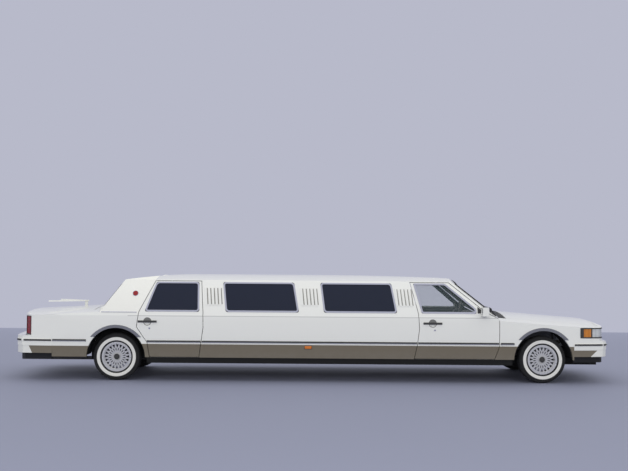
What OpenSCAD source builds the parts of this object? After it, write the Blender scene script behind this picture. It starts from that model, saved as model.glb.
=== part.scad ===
// Stretched luxury sedan: X runs forward, Y to the car's left, Z up from the ground.

/* [Running gear] */
// Distance between the two axles
wheelbase = 6030; // [5800:1:6300]
// Front axle to the face of the front bumper
front_overhang = 1039; // [1030:1:1070]
// Rear axle to the face of the rear bumper
rear_overhang = 1539; // [1520:1:1580]
// Body side to the middle of a tyre
wheel_in = 176; // [173:1:190]
// Radius of a tyre
tyre_r = 332; // [322:1:336]
// Width of a tyre
tyre_w = 215; // [195:1:225]
// Radius of a wheel rim over its flange
rim_r = 209; // [200:1:215]
// Width of a wheel rim
rim_w = 180; // [160:1:190]
// Radius of a wheel spindle
spindle_r = 30; // [24:1:34]
// Number of triangular windows in each ring of a rim's lattice
lattice_n = 20; // [12:1:24]
// Kingpin axis to the middle of the tyre
kingpin_in = 100; // [90:1:110]
// Radius of a wheel arch
arch_r = 414; // [408:1:425]
// Width of the bright lip round a wheel arch
arch_lip = 42; // [30:1:48]

/* [Body sides] */
// Width across the body sides
body_w = 1952; // [1930:1:1980]
// Radius of the barrel shape of the sides
side_r = 4100; // [3500:10:6000]
// Height at which the sides are widest
side_z = 760; // [720:1:800]
// Height of the bottom edge of the sides
sill_z = 335; // [325:1:345]
// Height of the shoulder crease
shoulder_z = 920; // [900:1:930]
// Radius of the curved side glass
glass_r = 2600; // [2200:10:3400]
// Drip rail to the widest point of the side, across the car
rail_in = 186; // [170:1:200]
// Height of the drip rail
rail_z = 1413; // [1400:1:1425]
// Height of the roof's crown
roof_z = 1500; // [1490:1:1515]
// Rise of the roof's crown over the drip rails
crown_h = 76; // [66:1:90]
// Thickness of a door or side wall
door_t = 85; // [75:1:95]
// Thickness of the roof, the pillars and the window frames
roof_t = 45; // [38:1:50]
// Thickness of the outer flange of a door or lid
flange_t = 20; // [16:1:24]
// Gap between two panels
gap = 8; // [7:0.5:10]
// Extra set-back of the inner part of a door
inner_set = 22; // [18:1:26]
// Height of the top of the two-tone lower band
band_z = 523; // [500:1:540]

/* [Glass and frames] */
// Thickness of a pane
pane_t = 6; // [5:0.5:8]
// Depth of a pane below the outer face
pane_in = 8; // [6:0.5:12]
// Height of the window sills
sash_z = 985; // [975:1:1000]
// Height of the window tops
head_z = 1385; // [1370:1:1392]
// Corner radius of a side window
window_r = 28; // [16:1:40]
// Depth of the windscreen's and rear window's bow, between the drip rails
screen_bow = 70; // [55:1:80]

/* [Doors] */
// Front axle to the front edge of a front door
front_door_x = 618; // [600:1:635]
// Length of a front door at its middle
front_door_len = 1136; // [1110:1:1160]
// Rear axle to the rear edge of a rear door at its middle
rear_door_x = 286; // [280:1:300]
// Length of a rear door at its middle
rear_door_len = 948; // [920:1:970]
// Radius of a door hinge pin
pin_r = 6; // [5:0.5:7]
// Set-back of a hinge pin from the door's front edge
pin_back = 72; // [66:1:80]
// Depth of a hinge pin below the widest point of the side
pin_in = 20; // [19:0.5:21]
// Height of one hinge
hinge_h = 60; // [44:1:70]
// Ribs in a set of louvres
louvre_n = 5; // [3:1:6]

/* [Hood and trunk] */
// Radius of the hood's crown across the car
hood_r = 4800; // [4200:10:5600]
// Slope of the hood
hood_slope = 4.4; // [4:0.1:4.8]
// Height of the hood at its rear edge
hood_z = 973; // [965:1:980]
// Length of the hood
hood_len = 1290; // [1270:1:1300]
// Width of the top of a front fender
fender_w = 176; // [160:1:195]
// Height of the trunk lid at its front edge
deck_z = 1030; // [1020:1:1040]
// Slope of the trunk lid
deck_slope = 3.4; // [3:0.1:4]
// Radius of the deck's crown across the car
deck_r = 7200; // [6500:10:8000]
// Width of the top of a quarter panel
quarter_w = 216; // [200:1:235]
// Thickness of the hood and the trunk lid
lid_t = 26; // [22:1:30]
// Radius of the hinge pins of the hood and the trunk lid
lid_pin_r = 7; // [5:0.5:8]

/* [Hidden] */
$fn = 64;
FINE = 360;
// Room left outside the body for trim that stands proud
proud = 50;
car_len = front_overhang + wheelbase + rear_overhang;
nose = car_len / 2;
tail = -car_len / 2;
xf = nose - front_overhang;
xr = tail + rear_overhang;
half_w = body_w / 2;
wheel_y = half_w - wheel_in;
king_y = wheel_y - kingpin_in;
rail_y = half_w - rail_in;
function bow_r(half, deep) = (half * half + deep * deep) / (2 * deep);
crown_r = bow_r(rail_y, crown_h);
screen_r = bow_r(rail_y, screen_bow);
hood_y = half_w - fender_w;
lid_y = half_w - quarter_w;

// The windscreen and the rear window, as foot, height of the foot and slope
screen_x = xf - 575;
screen_z = 980;
screen_slope = 36.9;
back_x = xr - 285;
back_z = 1060;
back_slope = 51.5;
roof_mid = 0;
roof_arc_front = 57000;
roof_arc_rear = 6500;
roof_fall_x = xr + 1085;

// The nose and the tail below the hood and the deck
hood_x0 = xf - 495;
hood_x1 = hood_x0 + hood_len;
nose_face = nose - 104;
nose_bow = bow_r(half_w, 104);
nose_fall = 260;
nose_fall_x = nose_face - 230;
tail_face = tail + 160;
tail_bow = bow_r(half_w, 99);
// Rounded corners of the ends in plan: distance of the arc's middle, and set-back at full width
corner_back = 1400;
nose_corner = 183;
tail_corner = 209;
bumper_back = 1150;
bumper_corner = 246;
bumper_bow = bow_r(half_w, 152);
deck_x = back_x - 30;
// The sides draw in towards both ends in plan
plan_r = 6000;
plan_front_x = nose - 1144;
plan_rear_x = tail + 942;
front_end_x = xf - 1600;
rear_end_x = xr + 800;

// Door edges
fd1 = xf - front_door_x;
fd0 = fd1 - front_door_len;
rd0 = xr + rear_door_x;
rd1 = rd0 + rear_door_len;
shoulder_y = half_w - side_r + sqrt(side_r * side_r - pow(shoulder_z - side_z, 2));

// Middle of a circle of radius r through two points, on the inner side
function circle_mid(a, b, r) =
    let (d = b - a, l = norm(d), h = sqrt(r * r - l * l / 4))
    (a + b) / 2 + h * [-d[1], d[0]] / l;
glass_mid = circle_mid([shoulder_y, shoulder_z], [rail_y, rail_z], glass_r);

module both_sides() {
    children();
    mirror([0, 1, 0]) children();
}

// A Y-Z outline drawn along X, an X-Z outline drawn across the car, an X-Y outline drawn up
module along_x(x0, x1) translate([x0, 0, 0]) rotate([90, 0, 90]) linear_extrude(x1 - x0) children();
module along_y(y0, y1) translate([0, y1, 0]) rotate([90, 0, 0]) linear_extrude(y1 - y0) children();
module across(w = 2400) along_y(-w / 2, w / 2) children();
module span(x0, x1, y0, y1, z0, z1) translate([x0, y0, z0]) cube([x1 - x0, y1 - y0, z1 - z0]);

// Outline of the body across the car: barrel sides, leaning glass and crowned roof
module section(inset = 0) intersection() {
    intersection_for(s = [-1, 1]) translate([s * (half_w - side_r), side_z])
        circle(side_r - inset, $fn = FINE);
    intersection_for(s = [-1, 1]) translate([s * glass_mid[0], glass_mid[1]])
        circle(glass_r - inset, $fn = FINE);
    translate([0, roof_z - crown_r]) circle(crown_r - inset, $fn = FINE);
    translate([-half_w - proud, sill_z]) square([body_w + 2 * proud, roof_z]);
}

// Everything behind the bowed windscreen, and in front of the bowed rear window
module behind_screen(inset) translate([screen_x, 0, screen_z]) rotate([0, screen_slope - 90, 0])
    translate([-screen_r, 0, -2000]) cylinder(r = screen_r - inset, h = 5000, $fn = FINE);
module ahead_of_back(inset) translate([back_x, 0, back_z]) rotate([0, 90 - back_slope, 0])
    translate([screen_r, 0, -2000]) cylinder(r = screen_r - inset, h = 5000, $fn = FINE);

// Cabin, from the cowl to the tail of the roof
module cabin(inset = 0) {
    intersection() {
        along_x(roof_mid, screen_x + 900) section(inset);
        behind_screen(inset);
        across() translate([roof_mid, roof_z - roof_arc_front])
            circle(roof_arc_front - inset, $fn = 4 * FINE);
    }
    along_x(roof_fall_x, roof_mid) section(inset);
    intersection() {
        along_x(back_x - 400, roof_fall_x) section(inset);
        ahead_of_back(inset);
        across() translate([roof_fall_x, roof_z - roof_arc_rear])
            circle(roof_arc_rear - inset, $fn = FINE);
    }
}

// Plan outlines of the two ends: straight, then drawn in by the sides, the bow of the face and the corners
module front_plan(inset = 0) {
    translate([front_end_x, -half_w - proud]) square([plan_front_x - front_end_x, body_w + 2 * proud]);
    intersection() {
        translate([plan_front_x - 1, -half_w - proud])
            square([nose - plan_front_x + 1, body_w + 2 * proud]);
        intersection_for(s = [-1, 1]) translate([plan_front_x, s * (half_w - plan_r)])
            circle(plan_r - inset, $fn = FINE);
        translate([nose_face - nose_bow, 0]) circle(nose_bow - inset, $fn = FINE);
        translate([nose_face - corner_back, 0])
            circle(norm([half_w, corner_back - nose_corner]) - inset, $fn = FINE);
    }
}
module rear_plan(inset = 0) {
    translate([plan_rear_x, -half_w - proud]) square([rear_end_x - plan_rear_x, body_w + 2 * proud]);
    intersection() {
        translate([tail, -half_w - proud]) square([plan_rear_x - tail + 1, body_w + 2 * proud]);
        intersection_for(s = [-1, 1]) translate([plan_rear_x, s * (half_w - plan_r)])
            circle(plan_r - inset, $fn = FINE);
        translate([tail_face + tail_bow, 0]) circle(tail_bow - inset, $fn = FINE);
        translate([tail_face + corner_back, 0])
            circle(norm([half_w, corner_back - tail_corner]) - inset, $fn = FINE);
    }
}

// Space below the crowned hood and below the crowned deck
module under_hood(inset) translate([hood_x0, 0, hood_z]) rotate([0, 90 + hood_slope, 0])
    translate([hood_r, 0, -900]) cylinder(r = hood_r - inset, h = 3200, $fn = FINE);
module under_deck(inset) translate([deck_x, 0, deck_z]) rotate([0, 90 - deck_slope, 0])
    translate([deck_r, 0, -1800]) cylinder(r = deck_r - inset, h = 3000, $fn = FINE);

// Outline along the car of the rounded nose
module nose_profile(inset) {
    z = hood_z - (nose_fall_x - hood_x0) * tan(hood_slope) - nose_fall;
    translate([front_end_x, 0]) square([nose_fall_x - front_end_x, roof_z]);
    translate([nose_fall_x - 1, z]) intersection() {
        circle(nose_fall - inset, $fn = FINE);
        square(nose_fall);
    }
    translate([nose_fall_x - 1, 0]) square([nose_fall, z]);
}
module front_end(inset = 0) intersection() {
    along_x(front_end_x, nose) section(inset);
    linear_extrude(roof_z) front_plan(inset);
    under_hood(inset);
    across() nose_profile(inset);
}
module rear_end(inset = 0) intersection() {
    along_x(tail, rear_end_x) section(inset);
    linear_extrude(roof_z) rear_plan(inset);
    under_deck(inset);
}

// Outlines of the doors and windows, seen from the side
fender_z = 905;
pillar_z = 1010;
pillar_x = fd1 - 205;
header_x = fd1 - 700;
module front_door_outline() polygon([
    [fd1, fender_z], [fd1, band_z], [fd1 - 68, sill_z], [fd0 - 73, sill_z], [fd0 - 31, band_z],
    [fd0, side_z], [fd0 - 14, shoulder_z + 50], [fd0 - 124, rail_z], [header_x, rail_z],
    [pillar_x, pillar_z]]);
module rear_door_outline() polygon([
    [rd1 - 57, sill_z], [rd1, side_z], [rd1 - 5, shoulder_z + 50], [rd1 - 47, rail_z],
    [rd0 + 239, rail_z], [rd0 + 28, shoulder_z + 50], [rd0, side_z], [rd0 + 151, band_z + 22],
    [rd0 + 188, sill_z]]);
module rounded(r) offset(r, $fn = 24) offset(delta = -r) children();
module front_window() rounded(window_r) polygon([
    [fd0 + 47, sash_z], [fd0 - 65, head_z], [fd1 - 745, head_z], [fd1 - 340, sash_z + 70],
    [fd1 - 340, sash_z]]);
module rear_window_side() rounded(window_r) polygon([
    [rd0 + 122, sash_z], [rd0 + 266, head_z], [rd1 - 91, head_z], [rd1 - 70, sash_z]]);

// The two middle windows, as the lower and upper ends of each
mid_front = fd0 - 318;
mid_rear = rd1 + 320;
mid_post = 369;
mid_len = (mid_front - mid_rear - mid_post) / 2;
module middle_windows() for (i = [0, 1]) translate([mid_rear + i * (mid_len + mid_post), 0])
    rounded(window_r) polygon([[0, sash_z], [-55, head_z], [mid_len - 75, head_z], [mid_len, sash_z]]);

// Slanted ribs on the posts beside the middle windows
louvre_z0 = 1075;
louvre_z1 = 1320;
louvre_w = 28;
louvre_pitch = 50;
louvre_lean = 24;
module louvre() polygon([
    [0, louvre_z0], [louvre_w, louvre_z0], [louvre_w - louvre_lean, louvre_z1], [-louvre_lean, louvre_z1]]);
module louvre_set(x) for (i = [0 : louvre_n - 1])
    translate([x + (i - (louvre_n - 1) / 2) * louvre_pitch, 0]) louvre();
module louvres() for (x = [rd1 + 122, (mid_front + mid_rear) / 2 - 40, fd0 - 218]) louvre_set(x);

// Screen openings, seen square to the screens
screen_len = 735;
screen_half = half_w - 261;
module screen_opening(inset) translate([screen_x, 0, screen_z]) rotate([0, screen_slope - 90, 0])
    rotate([0, 0, 90]) rotate([90, 0, 0]) linear_extrude(400, center = true) polygon([
        [-screen_half - 115 + inset, 40 + inset], [screen_half + 115 - inset, 40 + inset],
        [screen_half - inset, screen_len - inset], [-screen_half + inset, screen_len - inset]]);
back_len = 400;
back_half = half_w - 336;
module back_opening(inset) translate([back_x, 0, back_z]) rotate([0, 90 - back_slope, 0])
    rotate([0, 0, 90]) rotate([90, 0, 0]) linear_extrude(300, center = true) polygon([
        [-back_half - 70 + inset, 30 + inset], [back_half + 70 - inset, 30 + inset],
        [back_half - inset, back_len - inset], [-back_half + inset, back_len - inset]]);

// Wheel arch and the ring of its lip, seen from the side
module arch_at(x, r) translate([x, tyre_r]) circle(r, $fn = 96);

// Walls of the body: the cabin's are thick below the shoulder and thin above it
belt_z = shoulder_z + 20;
module cabin_wall() difference() {
    cabin(0);
    intersection() {
        cabin(roof_t);
        span(tail, nose, -half_w, half_w, belt_z, roof_z);
    }
    intersection() {
        cabin(door_t);
        span(tail, nose, -half_w, half_w, 0, belt_z + 1);
    }
}
// Straight sides between the outer face and a depth, and the whole wall of doors and side panels
side_x0 = rd0 - 100;
side_x1 = fd1 + 100;
module side_layer(a, b) along_x(side_x0, side_x1) difference() {
    section(a);
    section(b);
}
module side_wall() along_x(side_x0, side_x1) difference() {
    section(0);
    intersection() {
        section(roof_t);
        translate([-half_w, belt_z]) square([body_w, roof_z]);
    }
    intersection() {
        section(door_t);
        translate([-half_w, 0]) square([body_w, belt_z + 1]);
    }
}
module front_wall() difference() {
    front_end(0);
    front_end(roof_t);
}
module rear_wall() difference() {
    rear_end(0);
    rear_end(roof_t);
}

// Hinges of the side doors: a pin in a pocket of the door, and a strap bent round its inner edge
hinge_zs = [side_z - 140, side_z + 40];
pin_y = half_w - pin_in;
eye_r = pin_r + 5;
fit = 0.3;
strap_t = 18;
strap_in = door_t - pin_in + gap;
hinge_drop = 8;
module hinge_pins(x) for (z = hinge_zs) translate([x - pin_back, pin_y, z - hinge_h / 2 - hinge_drop])
    cylinder(r = pin_r, h = hinge_h + 2 * hinge_drop);
module hinge_pockets(x) for (z = hinge_zs)
    span(x - pin_back - eye_r - gap, x + gap, 0, pin_y + eye_r + 3,
        z - hinge_h / 2 - 5, z + hinge_h / 2 + 5);
module hinge_strap(reach) difference() {
    union() {
        cylinder(r = eye_r, h = hinge_h);
        translate([-eye_r, -strap_in - strap_t, 0]) cube([strap_t, strap_in + strap_t, hinge_h]);
        translate([-eye_r, -strap_in - strap_t, 0]) cube([pin_back + eye_r + reach, strap_t, hinge_h]);
        translate([pin_back + gap, -strap_in - 1, 0]) cube([reach - gap, gap + 2, hinge_h]);
    }
    translate([0, 0, -1]) cylinder(r = pin_r + fit, h = hinge_h + 2);
}
module hinge_straps(x, reach) for (z = hinge_zs) translate([x - pin_back, pin_y, z - hinge_h / 2])
    hinge_strap(reach);

// Door handle: a bar over a round bowl in the outer skin
handle_z = 838;
handle_len = 260;
handle_h = 24;
handle_out = 14;
bowl_r = 58;
bowl_deep = 14;
module handle_bowl(x) translate([x, half_w - bowl_deep, handle_z]) rotate([-90, 0, 0])
    cylinder(r1 = bowl_r - bowl_deep, r2 = bowl_r + bowl_deep, h = 2 * bowl_deep);
module handle_bar(x) intersection() {
    side_layer(-handle_out, 6);
    along_y(0, body_w) translate([x, handle_z]) {
        square([handle_len - handle_h, handle_h], center = true);
        for (s = [-1, 1]) translate([s * (handle_len - handle_h) / 2, 0]) circle(handle_h / 2);
    }
}

// A door: outer flange with the panel gap round it, inner body set back, window cut out
module door_at(x, handle_x) {
    difference() {
        union() {
            intersection() {
                side_layer(0, flange_t);
                along_y(0, half_w) offset(delta = -gap) children(0);
            }
            intersection() {
                side_wall();
                along_y(0, half_w) offset(delta = -gap - inner_set) children(0);
            }
        }
        along_y(0, half_w) children(1);
        hinge_pockets(x);
        handle_bowl(handle_x);
    }
    hinge_pins(x);
    handle_bar(handle_x);
}
module pane() intersection() {
    side_layer(pane_in, pane_in + pane_t);
    along_y(0, half_w) children();
}

// Mirror on the front corner of a front door
mirror_x = pillar_x - 60;
mirror_z = 985;
module door_mirror() {
    span(mirror_x, mirror_x + 55, half_w - 60, half_w + 20, mirror_z - 25, mirror_z + 5);
    translate([mirror_x, half_w - 4, mirror_z - 35]) difference() {
        linear_extrude(120) intersection() {
            square([110, 135]);
            translate([-30, 66]) circle(130, $fn = FINE);
        }
        translate([-1, 10, 10]) cube([13, 112, 100]);
    }
}
module front_door() {
    door_at(fd1, fd0 + 190) {
        front_door_outline();
        front_window();
    }
    door_mirror();
}
module rear_door() {
    door_at(rd1, rd0 + 158) {
        rear_door_outline();
        rear_window_side();
    }
}

paint = [0.93, 0.93, 0.91];
chrome = [0.8, 0.8, 0.82];
rubber = [0.08, 0.08, 0.08];
tint = [0.05, 0.06, 0.08];
bronze = [0.49, 0.45, 0.39];
cream = [0.95, 0.94, 0.9];

module front_door_left() color(paint) front_door();
module front_door_right() color(paint) mirror([0, 1, 0]) front_door();
module rear_door_left() color(paint) rear_door();
module rear_door_right() color(paint) mirror([0, 1, 0]) rear_door();
module front_door_glass_left() color(tint) pane() front_window();
module front_door_glass_right() color(tint) mirror([0, 1, 0]) pane() front_window();
module rear_door_glass_left() color(tint) pane() rear_window_side();
module rear_door_glass_right() color(tint) mirror([0, 1, 0]) pane() rear_window_side();

// Fixed sides between the doors, with their windows, louvres and the straps of the rear doors
louvre_out = 8;
module side_panels() color(paint) both_sides() {
    difference() {
        intersection() {
            side_wall();
            span((rd0 + rd1) / 2, (fd0 + header_x) / 2, 0, half_w, sill_z, rail_z);
        }
        along_y(0, half_w) {
            front_door_outline();
            rear_door_outline();
            middle_windows();
        }
    }
    intersection() {
        side_layer(-louvre_out, louvre_out);
        along_y(0, body_w) louvres();
    }
    hinge_straps(rd1, 110);
}
module side_glass() color(tint) both_sides() pane() middle_windows();

// Roof with the windscreen frame, a seam above the fenders, and the padded top behind it
seam = 0.5;
landau_x = rd0 + 239;
landau_z = 960;
landau_r = 90;
module roof_panel() color(paint) difference() {
    intersection() {
        cabin_wall();
        across() polygon([
            [landau_x, rail_z], [landau_x, 2 * roof_z], [nose, 2 * roof_z], [nose, fender_z - 60],
            [header_x, fender_z - 60], [header_x, rail_z]]);
    }
    across() front_door_outline();
    screen_opening(0);
    front_end(-seam);
}
module windshield() color(tint) intersection() {
    difference() {
        cabin(pane_in);
        cabin(pane_in + pane_t);
    }
    screen_opening(0);
}
module landau_outline() {
    translate([deck_x + landau_r, landau_z + landau_r]) circle(landau_r);
    translate([deck_x + landau_r, landau_z]) square([landau_x - deck_x - landau_r, roof_z - landau_z]);
    translate([deck_x, landau_z + landau_r]) square([landau_x - deck_x, roof_z - landau_z - landau_r]);
}
module landau_top() color(cream) difference() {
    intersection() {
        cabin_wall();
        across() landau_outline();
    }
    across() rear_door_outline();
    back_opening(0);
}
module rear_window() color(tint) intersection() {
    difference() {
        cabin(pane_in);
        cabin(pane_in + pane_t);
    }
    back_opening(0);
}

// Bumpers, as layers of height, top and set-back from the face
front_bumper_layers = [[297, 380, 70], [380, 480, 14], [480, 535, 8], [535, 563, 0], [563, 642, 10]];
rear_bumper_layers = [[302, 383, 70], [383, 488, 14], [488, 552, 8], [552, 580, 0], [580, 626, 10]];
bumper_t = 110;
bumper_out = 12;
bumper_corner_r = norm([half_w, bumper_back - bumper_corner]);
front_bumper_x = xf + arch_r + 20;
rear_bumper_x = tail + 640;
front_bumper_z = front_bumper_layers[4][1];
rear_bumper_z = rear_bumper_layers[4][1];
// Fall of the front bumper's top edge towards its face
bumper_fall = 57;
module front_bumper_zone() polygon([
    [front_bumper_x, 0], [nose, 0], [nose, front_bumper_z - bumper_fall],
    [front_bumper_x, front_bumper_z]]);
module rear_bumper_zone() translate([tail, 0]) square([rear_bumper_x - tail, rear_bumper_z]);
module front_bumper_plan(inset) intersection() {
    translate([front_bumper_x, -half_w]) square([nose - front_bumper_x - inset, body_w]);
    intersection_for(s = [-1, 1]) translate([plan_front_x, s * (half_w - plan_r)])
        circle(plan_r + bumper_out - inset, $fn = FINE);
    translate([nose - bumper_bow, 0]) circle(bumper_bow - inset, $fn = FINE);
    translate([nose - bumper_back, 0]) circle(bumper_corner_r - inset, $fn = FINE);
}
module rear_bumper_plan(inset) intersection() {
    translate([tail + inset, -half_w]) square([rear_bumper_x - tail - inset, body_w]);
    intersection_for(s = [-1, 1]) translate([plan_rear_x, s * (half_w - plan_r)])
        circle(plan_r + bumper_out - inset, $fn = FINE);
    translate([tail + bumper_bow, 0]) circle(bumper_bow - inset, $fn = FINE);
    translate([tail + bumper_back, 0]) circle(bumper_corner_r - inset, $fn = FINE);
}
module layer(row) translate([0, 0, row[0]]) linear_extrude(row[1] - row[0]) children();
module front_bumper() color(paint) intersection() {
    union() for (row = front_bumper_layers) layer(row) difference() {
        front_bumper_plan(row[2]);
        front_bumper_plan(bumper_t);
    }
    across() front_bumper_zone();
}
// Flat seat for a plate in the rear bumper, with its two holes near the seat's top
plate_w = 330;
plate_h = 160;
plate_z = 465;
plate_in = 22;
plate_pitch = 178;
plate_hole_z = plate_z + 60;
plate_hole_r = 3.5;
module rear_bumper() color(paint) difference() {
    union() for (row = rear_bumper_layers) layer(row) difference() {
        rear_bumper_plan(row[2]);
        rear_bumper_plan(bumper_t);
    }
    span(tail - 1, tail + plate_in, -plate_w / 2, plate_w / 2,
        plate_z - plate_h / 2, plate_z + plate_h / 2);
    for (s = [-1, 1]) translate([tail, s * plate_pitch / 2, plate_hole_z]) rotate([0, 90, 0])
        cylinder(r = plate_hole_r, h = 2 * bumper_t);
}

// Fenders, nose panel, lamps and grille
lamp_x = xf + 512;
lamp_z0 = 648;
lamp_z1 = 785;
lamp_t = 65;
// Set-back of the lamps' lenses from the body's face
lens_in = 2;
grille_y = 330;
lamp_y = grille_y + 90;
grille_z1 = 800;
module lamp_box() {
    span(lamp_x + 12, nose, lamp_y, half_w, lamp_z0, lamp_z1);
}
module front_fenders() color(paint) both_sides() difference() {
    intersection() {
        front_wall();
        span((fd0 + fd1) / 2, lamp_x, hood_y, half_w, sill_z, hood_z);
    }
    across() {
        front_door_outline();
        arch_at(xf, arch_r);
        front_bumper_zone();
    }
}
module nose_panel() color(paint) difference() {
    intersection() {
        front_wall();
        span(lamp_x, nose, -half_w, half_w, sill_z, hood_z);
    }
    span(lamp_x - 1, hood_x1 + gap, -hood_y, hood_y, 0, hood_z);
    span(lamp_x - 1, nose, -grille_y, grille_y, 0, grille_z1);
    both_sides() lamp_box();
    across() front_bumper_zone();
}
module head_lamps() color([0.85, 0.87, 0.9]) both_sides() difference() {
    intersection() {
        front_end(lens_in);
        lamp_box();
    }
    linear_extrude(roof_z) front_plan(lamp_t);
}

// Upright grille of bars in a bright shell
bar_n = 22;
bar_w = 8;
grille_deep = 130;
grille_rim = 28;
grille_z0 = 600;
bars_z0 = grille_z0 + 25;
bars_z1 = grille_z1 - 45;
bar_pitch = 2 * (grille_y - grille_rim) / (bar_n + 1);
module grille_shell() polygon([
    [nose_face - grille_deep, grille_z0], [nose_face - 4, grille_z0], [nose_face + 6, grille_z1 - 60],
    [nose_face - 40, grille_z1], [nose_face - grille_deep, grille_z1]]);
module grille_bar() polygon([
    [nose_face - grille_deep + 20, bars_z0 - 5], [nose_face - 16, bars_z0 - 5],
    [nose_face - 8, bars_z1 - 15], [nose_face - 20, bars_z1 + 5],
    [nose_face - grille_deep + 20, bars_z1 + 5]]);
module grille() color(chrome) {
    difference() {
        along_y(-grille_y, grille_y) grille_shell();
        span(nose_face - grille_deep + 31, nose, grille_rim - grille_y, grille_y - grille_rim,
            bars_z0, bars_z1);
    }
    for (i = [1 : bar_n]) translate([0, -grille_y + grille_rim + i * bar_pitch - bar_w / 2, 0])
        along_y(0, bar_w) grille_bar();
}

// Hood and trunk lid, each hung on two pins near its hinge edge
lid_pin_back = 45;
lid_pin_down = 22;
lid_pin_y = 300;
lid_gap = 15;
lid_eye_r = lid_pin_r + 3;
bracket_w = 20;
bracket_h = 70;
function sag(r, y) = r - sqrt(r * r - y * y);
hood_pin_x = hood_x0 + lid_pin_back;
hood_pin_z = hood_z - sag(hood_r, lid_pin_y) - lid_pin_back * tan(hood_slope) - lid_pin_down;
lid_x1 = deck_x - 40;
lid_pin_x = lid_x1 - lid_pin_back;
lid_pin_z = deck_z - sag(deck_r, lid_pin_y) - (deck_x - lid_pin_x) * tan(deck_slope) - lid_pin_down;
lid_low = 645;
module lid_pins(x, z) both_sides() translate([x, lid_pin_y - bracket_w, z]) rotate([-90, 0, 0])
    cylinder(r = lid_pin_r, h = 2 * bracket_w + gap);
module lid_pockets(x, z, edge) both_sides()
    span(min(x - lid_eye_r - 4, edge), max(x + lid_eye_r + 4, edge),
        lid_pin_y - 5, lid_pin_y + bracket_w + 5, z - bracket_h, z + lid_eye_r + 2);
module lid_brackets(x, z, back) both_sides() translate([x, lid_pin_y, z]) difference() {
    union() {
        rotate([-90, 0, 0]) cylinder(r = lid_eye_r, h = bracket_w);
        translate([-8, 0, -bracket_h]) cube([16, bracket_w, bracket_h]);
        translate([min(0, back - x), 0, -bracket_h]) cube([abs(back - x), bracket_w, 15]);
    }
    translate([0, -1, 0]) rotate([-90, 0, 0]) cylinder(r = lid_pin_r + fit, h = bracket_w + 2);
}
module hood() color(paint) {
    difference() {
        intersection() {
            front_end(0);
            span(hood_x0, hood_x1, -hood_y + gap, hood_y - gap, 0, roof_z);
        }
        under_hood(lid_t);
        lid_pockets(hood_pin_x, hood_pin_z, hood_x0 - 1);
    }
    lid_pins(hood_pin_x, hood_pin_z);
}
module trunk_lid() color(paint) {
    difference() {
        intersection() {
            rear_end(0);
            span(tail, lid_x1, -lid_y + gap, lid_y - gap, lid_low, roof_z);
        }
        intersection() {
            under_deck(lid_t);
            linear_extrude(roof_z) rear_plan(lid_t);
        }
        lid_pockets(lid_pin_x, lid_pin_z, lid_x1 + 1);
    }
    lid_pins(lid_pin_x, lid_pin_z);
}

// Boomerang aerial on the trunk lid
aerial_x = lid_x1 - 310;
aerial_z = 1078;
module antenna() color(paint) difference() {
    union() {
        translate([aerial_x, 0, aerial_z]) linear_extrude(18) both_sides_2d() polygon([
            [42, 0], [20, 45], [-430, 320], [-480, 322], [-470, 285], [-60, 30], [-70, 0]]);
        translate([aerial_x, 0, deck_z - 80]) cylinder(r = 22, h = aerial_z - deck_z + 90);
    }
    rear_end(0);
}
module both_sides_2d() {
    children();
    mirror([0, 1]) children();
}

// Cowl: the strip below the windscreen, and a plate on the firewall with the brackets of the hood
wall_x = xf - 550;
wall_t = 40;
wall_z = 850;
hinge_plate_t = 15;
cowl_x1 = hood_x0 - lid_gap;
module cowl() color(rubber) {
    difference() {
        intersection() {
            front_wall();
            span(header_x, cowl_x1, -hood_y, hood_y, wall_z, 2 * hood_z);
        }
        cabin(0);
    }
    intersection() {
        front_end(1);
        span(cowl_x1 - hinge_plate_t, cowl_x1, -hood_y, hood_y, wall_z, 2 * hood_z);
    }
    lid_brackets(hood_pin_x, hood_pin_z, cowl_x1 - 5);
}

// Quarter panels, joined by the strip below the rear window and the panel below the lid
tail_lamp_x = tail + 340;
tail_lamp_z0 = 636;
tail_lamp_z1 = 900;
tail_lamp_t = 60;
module tail_lamp_box() span(tail, tail_lamp_x, lid_y, half_w, tail_lamp_z0, tail_lamp_z1);
module quarter_panels() color(paint) {
    difference() {
        intersection() {
            rear_wall();
            span(tail, (rd0 + rd1) / 2, -half_w, half_w, sill_z, roof_z);
        }
        across() landau_outline();
        span(tail, lid_x1 + lid_gap, -lid_y, lid_y, tail_lamp_z0, roof_z);
        across() {
            rear_door_outline();
            arch_at(xr, arch_r);
            rear_bumper_zone();
        }
        both_sides() tail_lamp_box();
    }
    lid_brackets(lid_pin_x, lid_pin_z, lid_x1 + lid_gap + hinge_plate_t);
    intersection() {
        rear_end(1);
        span(lid_x1 + lid_gap, lid_x1 + lid_gap + hinge_plate_t, -lid_y, lid_y, lid_pin_z - bracket_h, roof_z);
    }
}
module tail_lamps() color([0.6, 0.05, 0.05]) both_sides() difference() {
    intersection() {
        rear_end(lens_in);
        tail_lamp_box();
    }
    linear_extrude(roof_z) rear_plan(tail_lamp_t);
}

// Bright lips round the wheel arches
lip_out = 6;
lip_z = 616;
arch_zone = 600;
module lip_ring(x) along_y(0, body_w) difference() {
    arch_at(x, arch_r + arch_lip);
    arch_at(x, arch_r);
    translate([x - arch_zone, 0]) square([2 * arch_zone, lip_z]);
}
module arch_lips() color(chrome) both_sides() {
    intersection() {
        difference() {
            front_end(-lip_out);
            front_end(0);
        }
        lip_ring(xf);
    }
    intersection() {
        difference() {
            rear_end(-lip_out);
            rear_end(0);
        }
        lip_ring(xr);
    }
}

// Ladder frame under the floor
rail_y1 = half_w - 496;
rail_y0 = rail_y1 - 80;
rail_z0 = 225;
rail_z1 = 320;
kick_z0 = 405;
kick_z1 = 490;
tail_z0 = 345;
tail_z1 = 430;
cross_n = 6;
cross_pitch = 750;
cross_w = 60;
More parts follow.
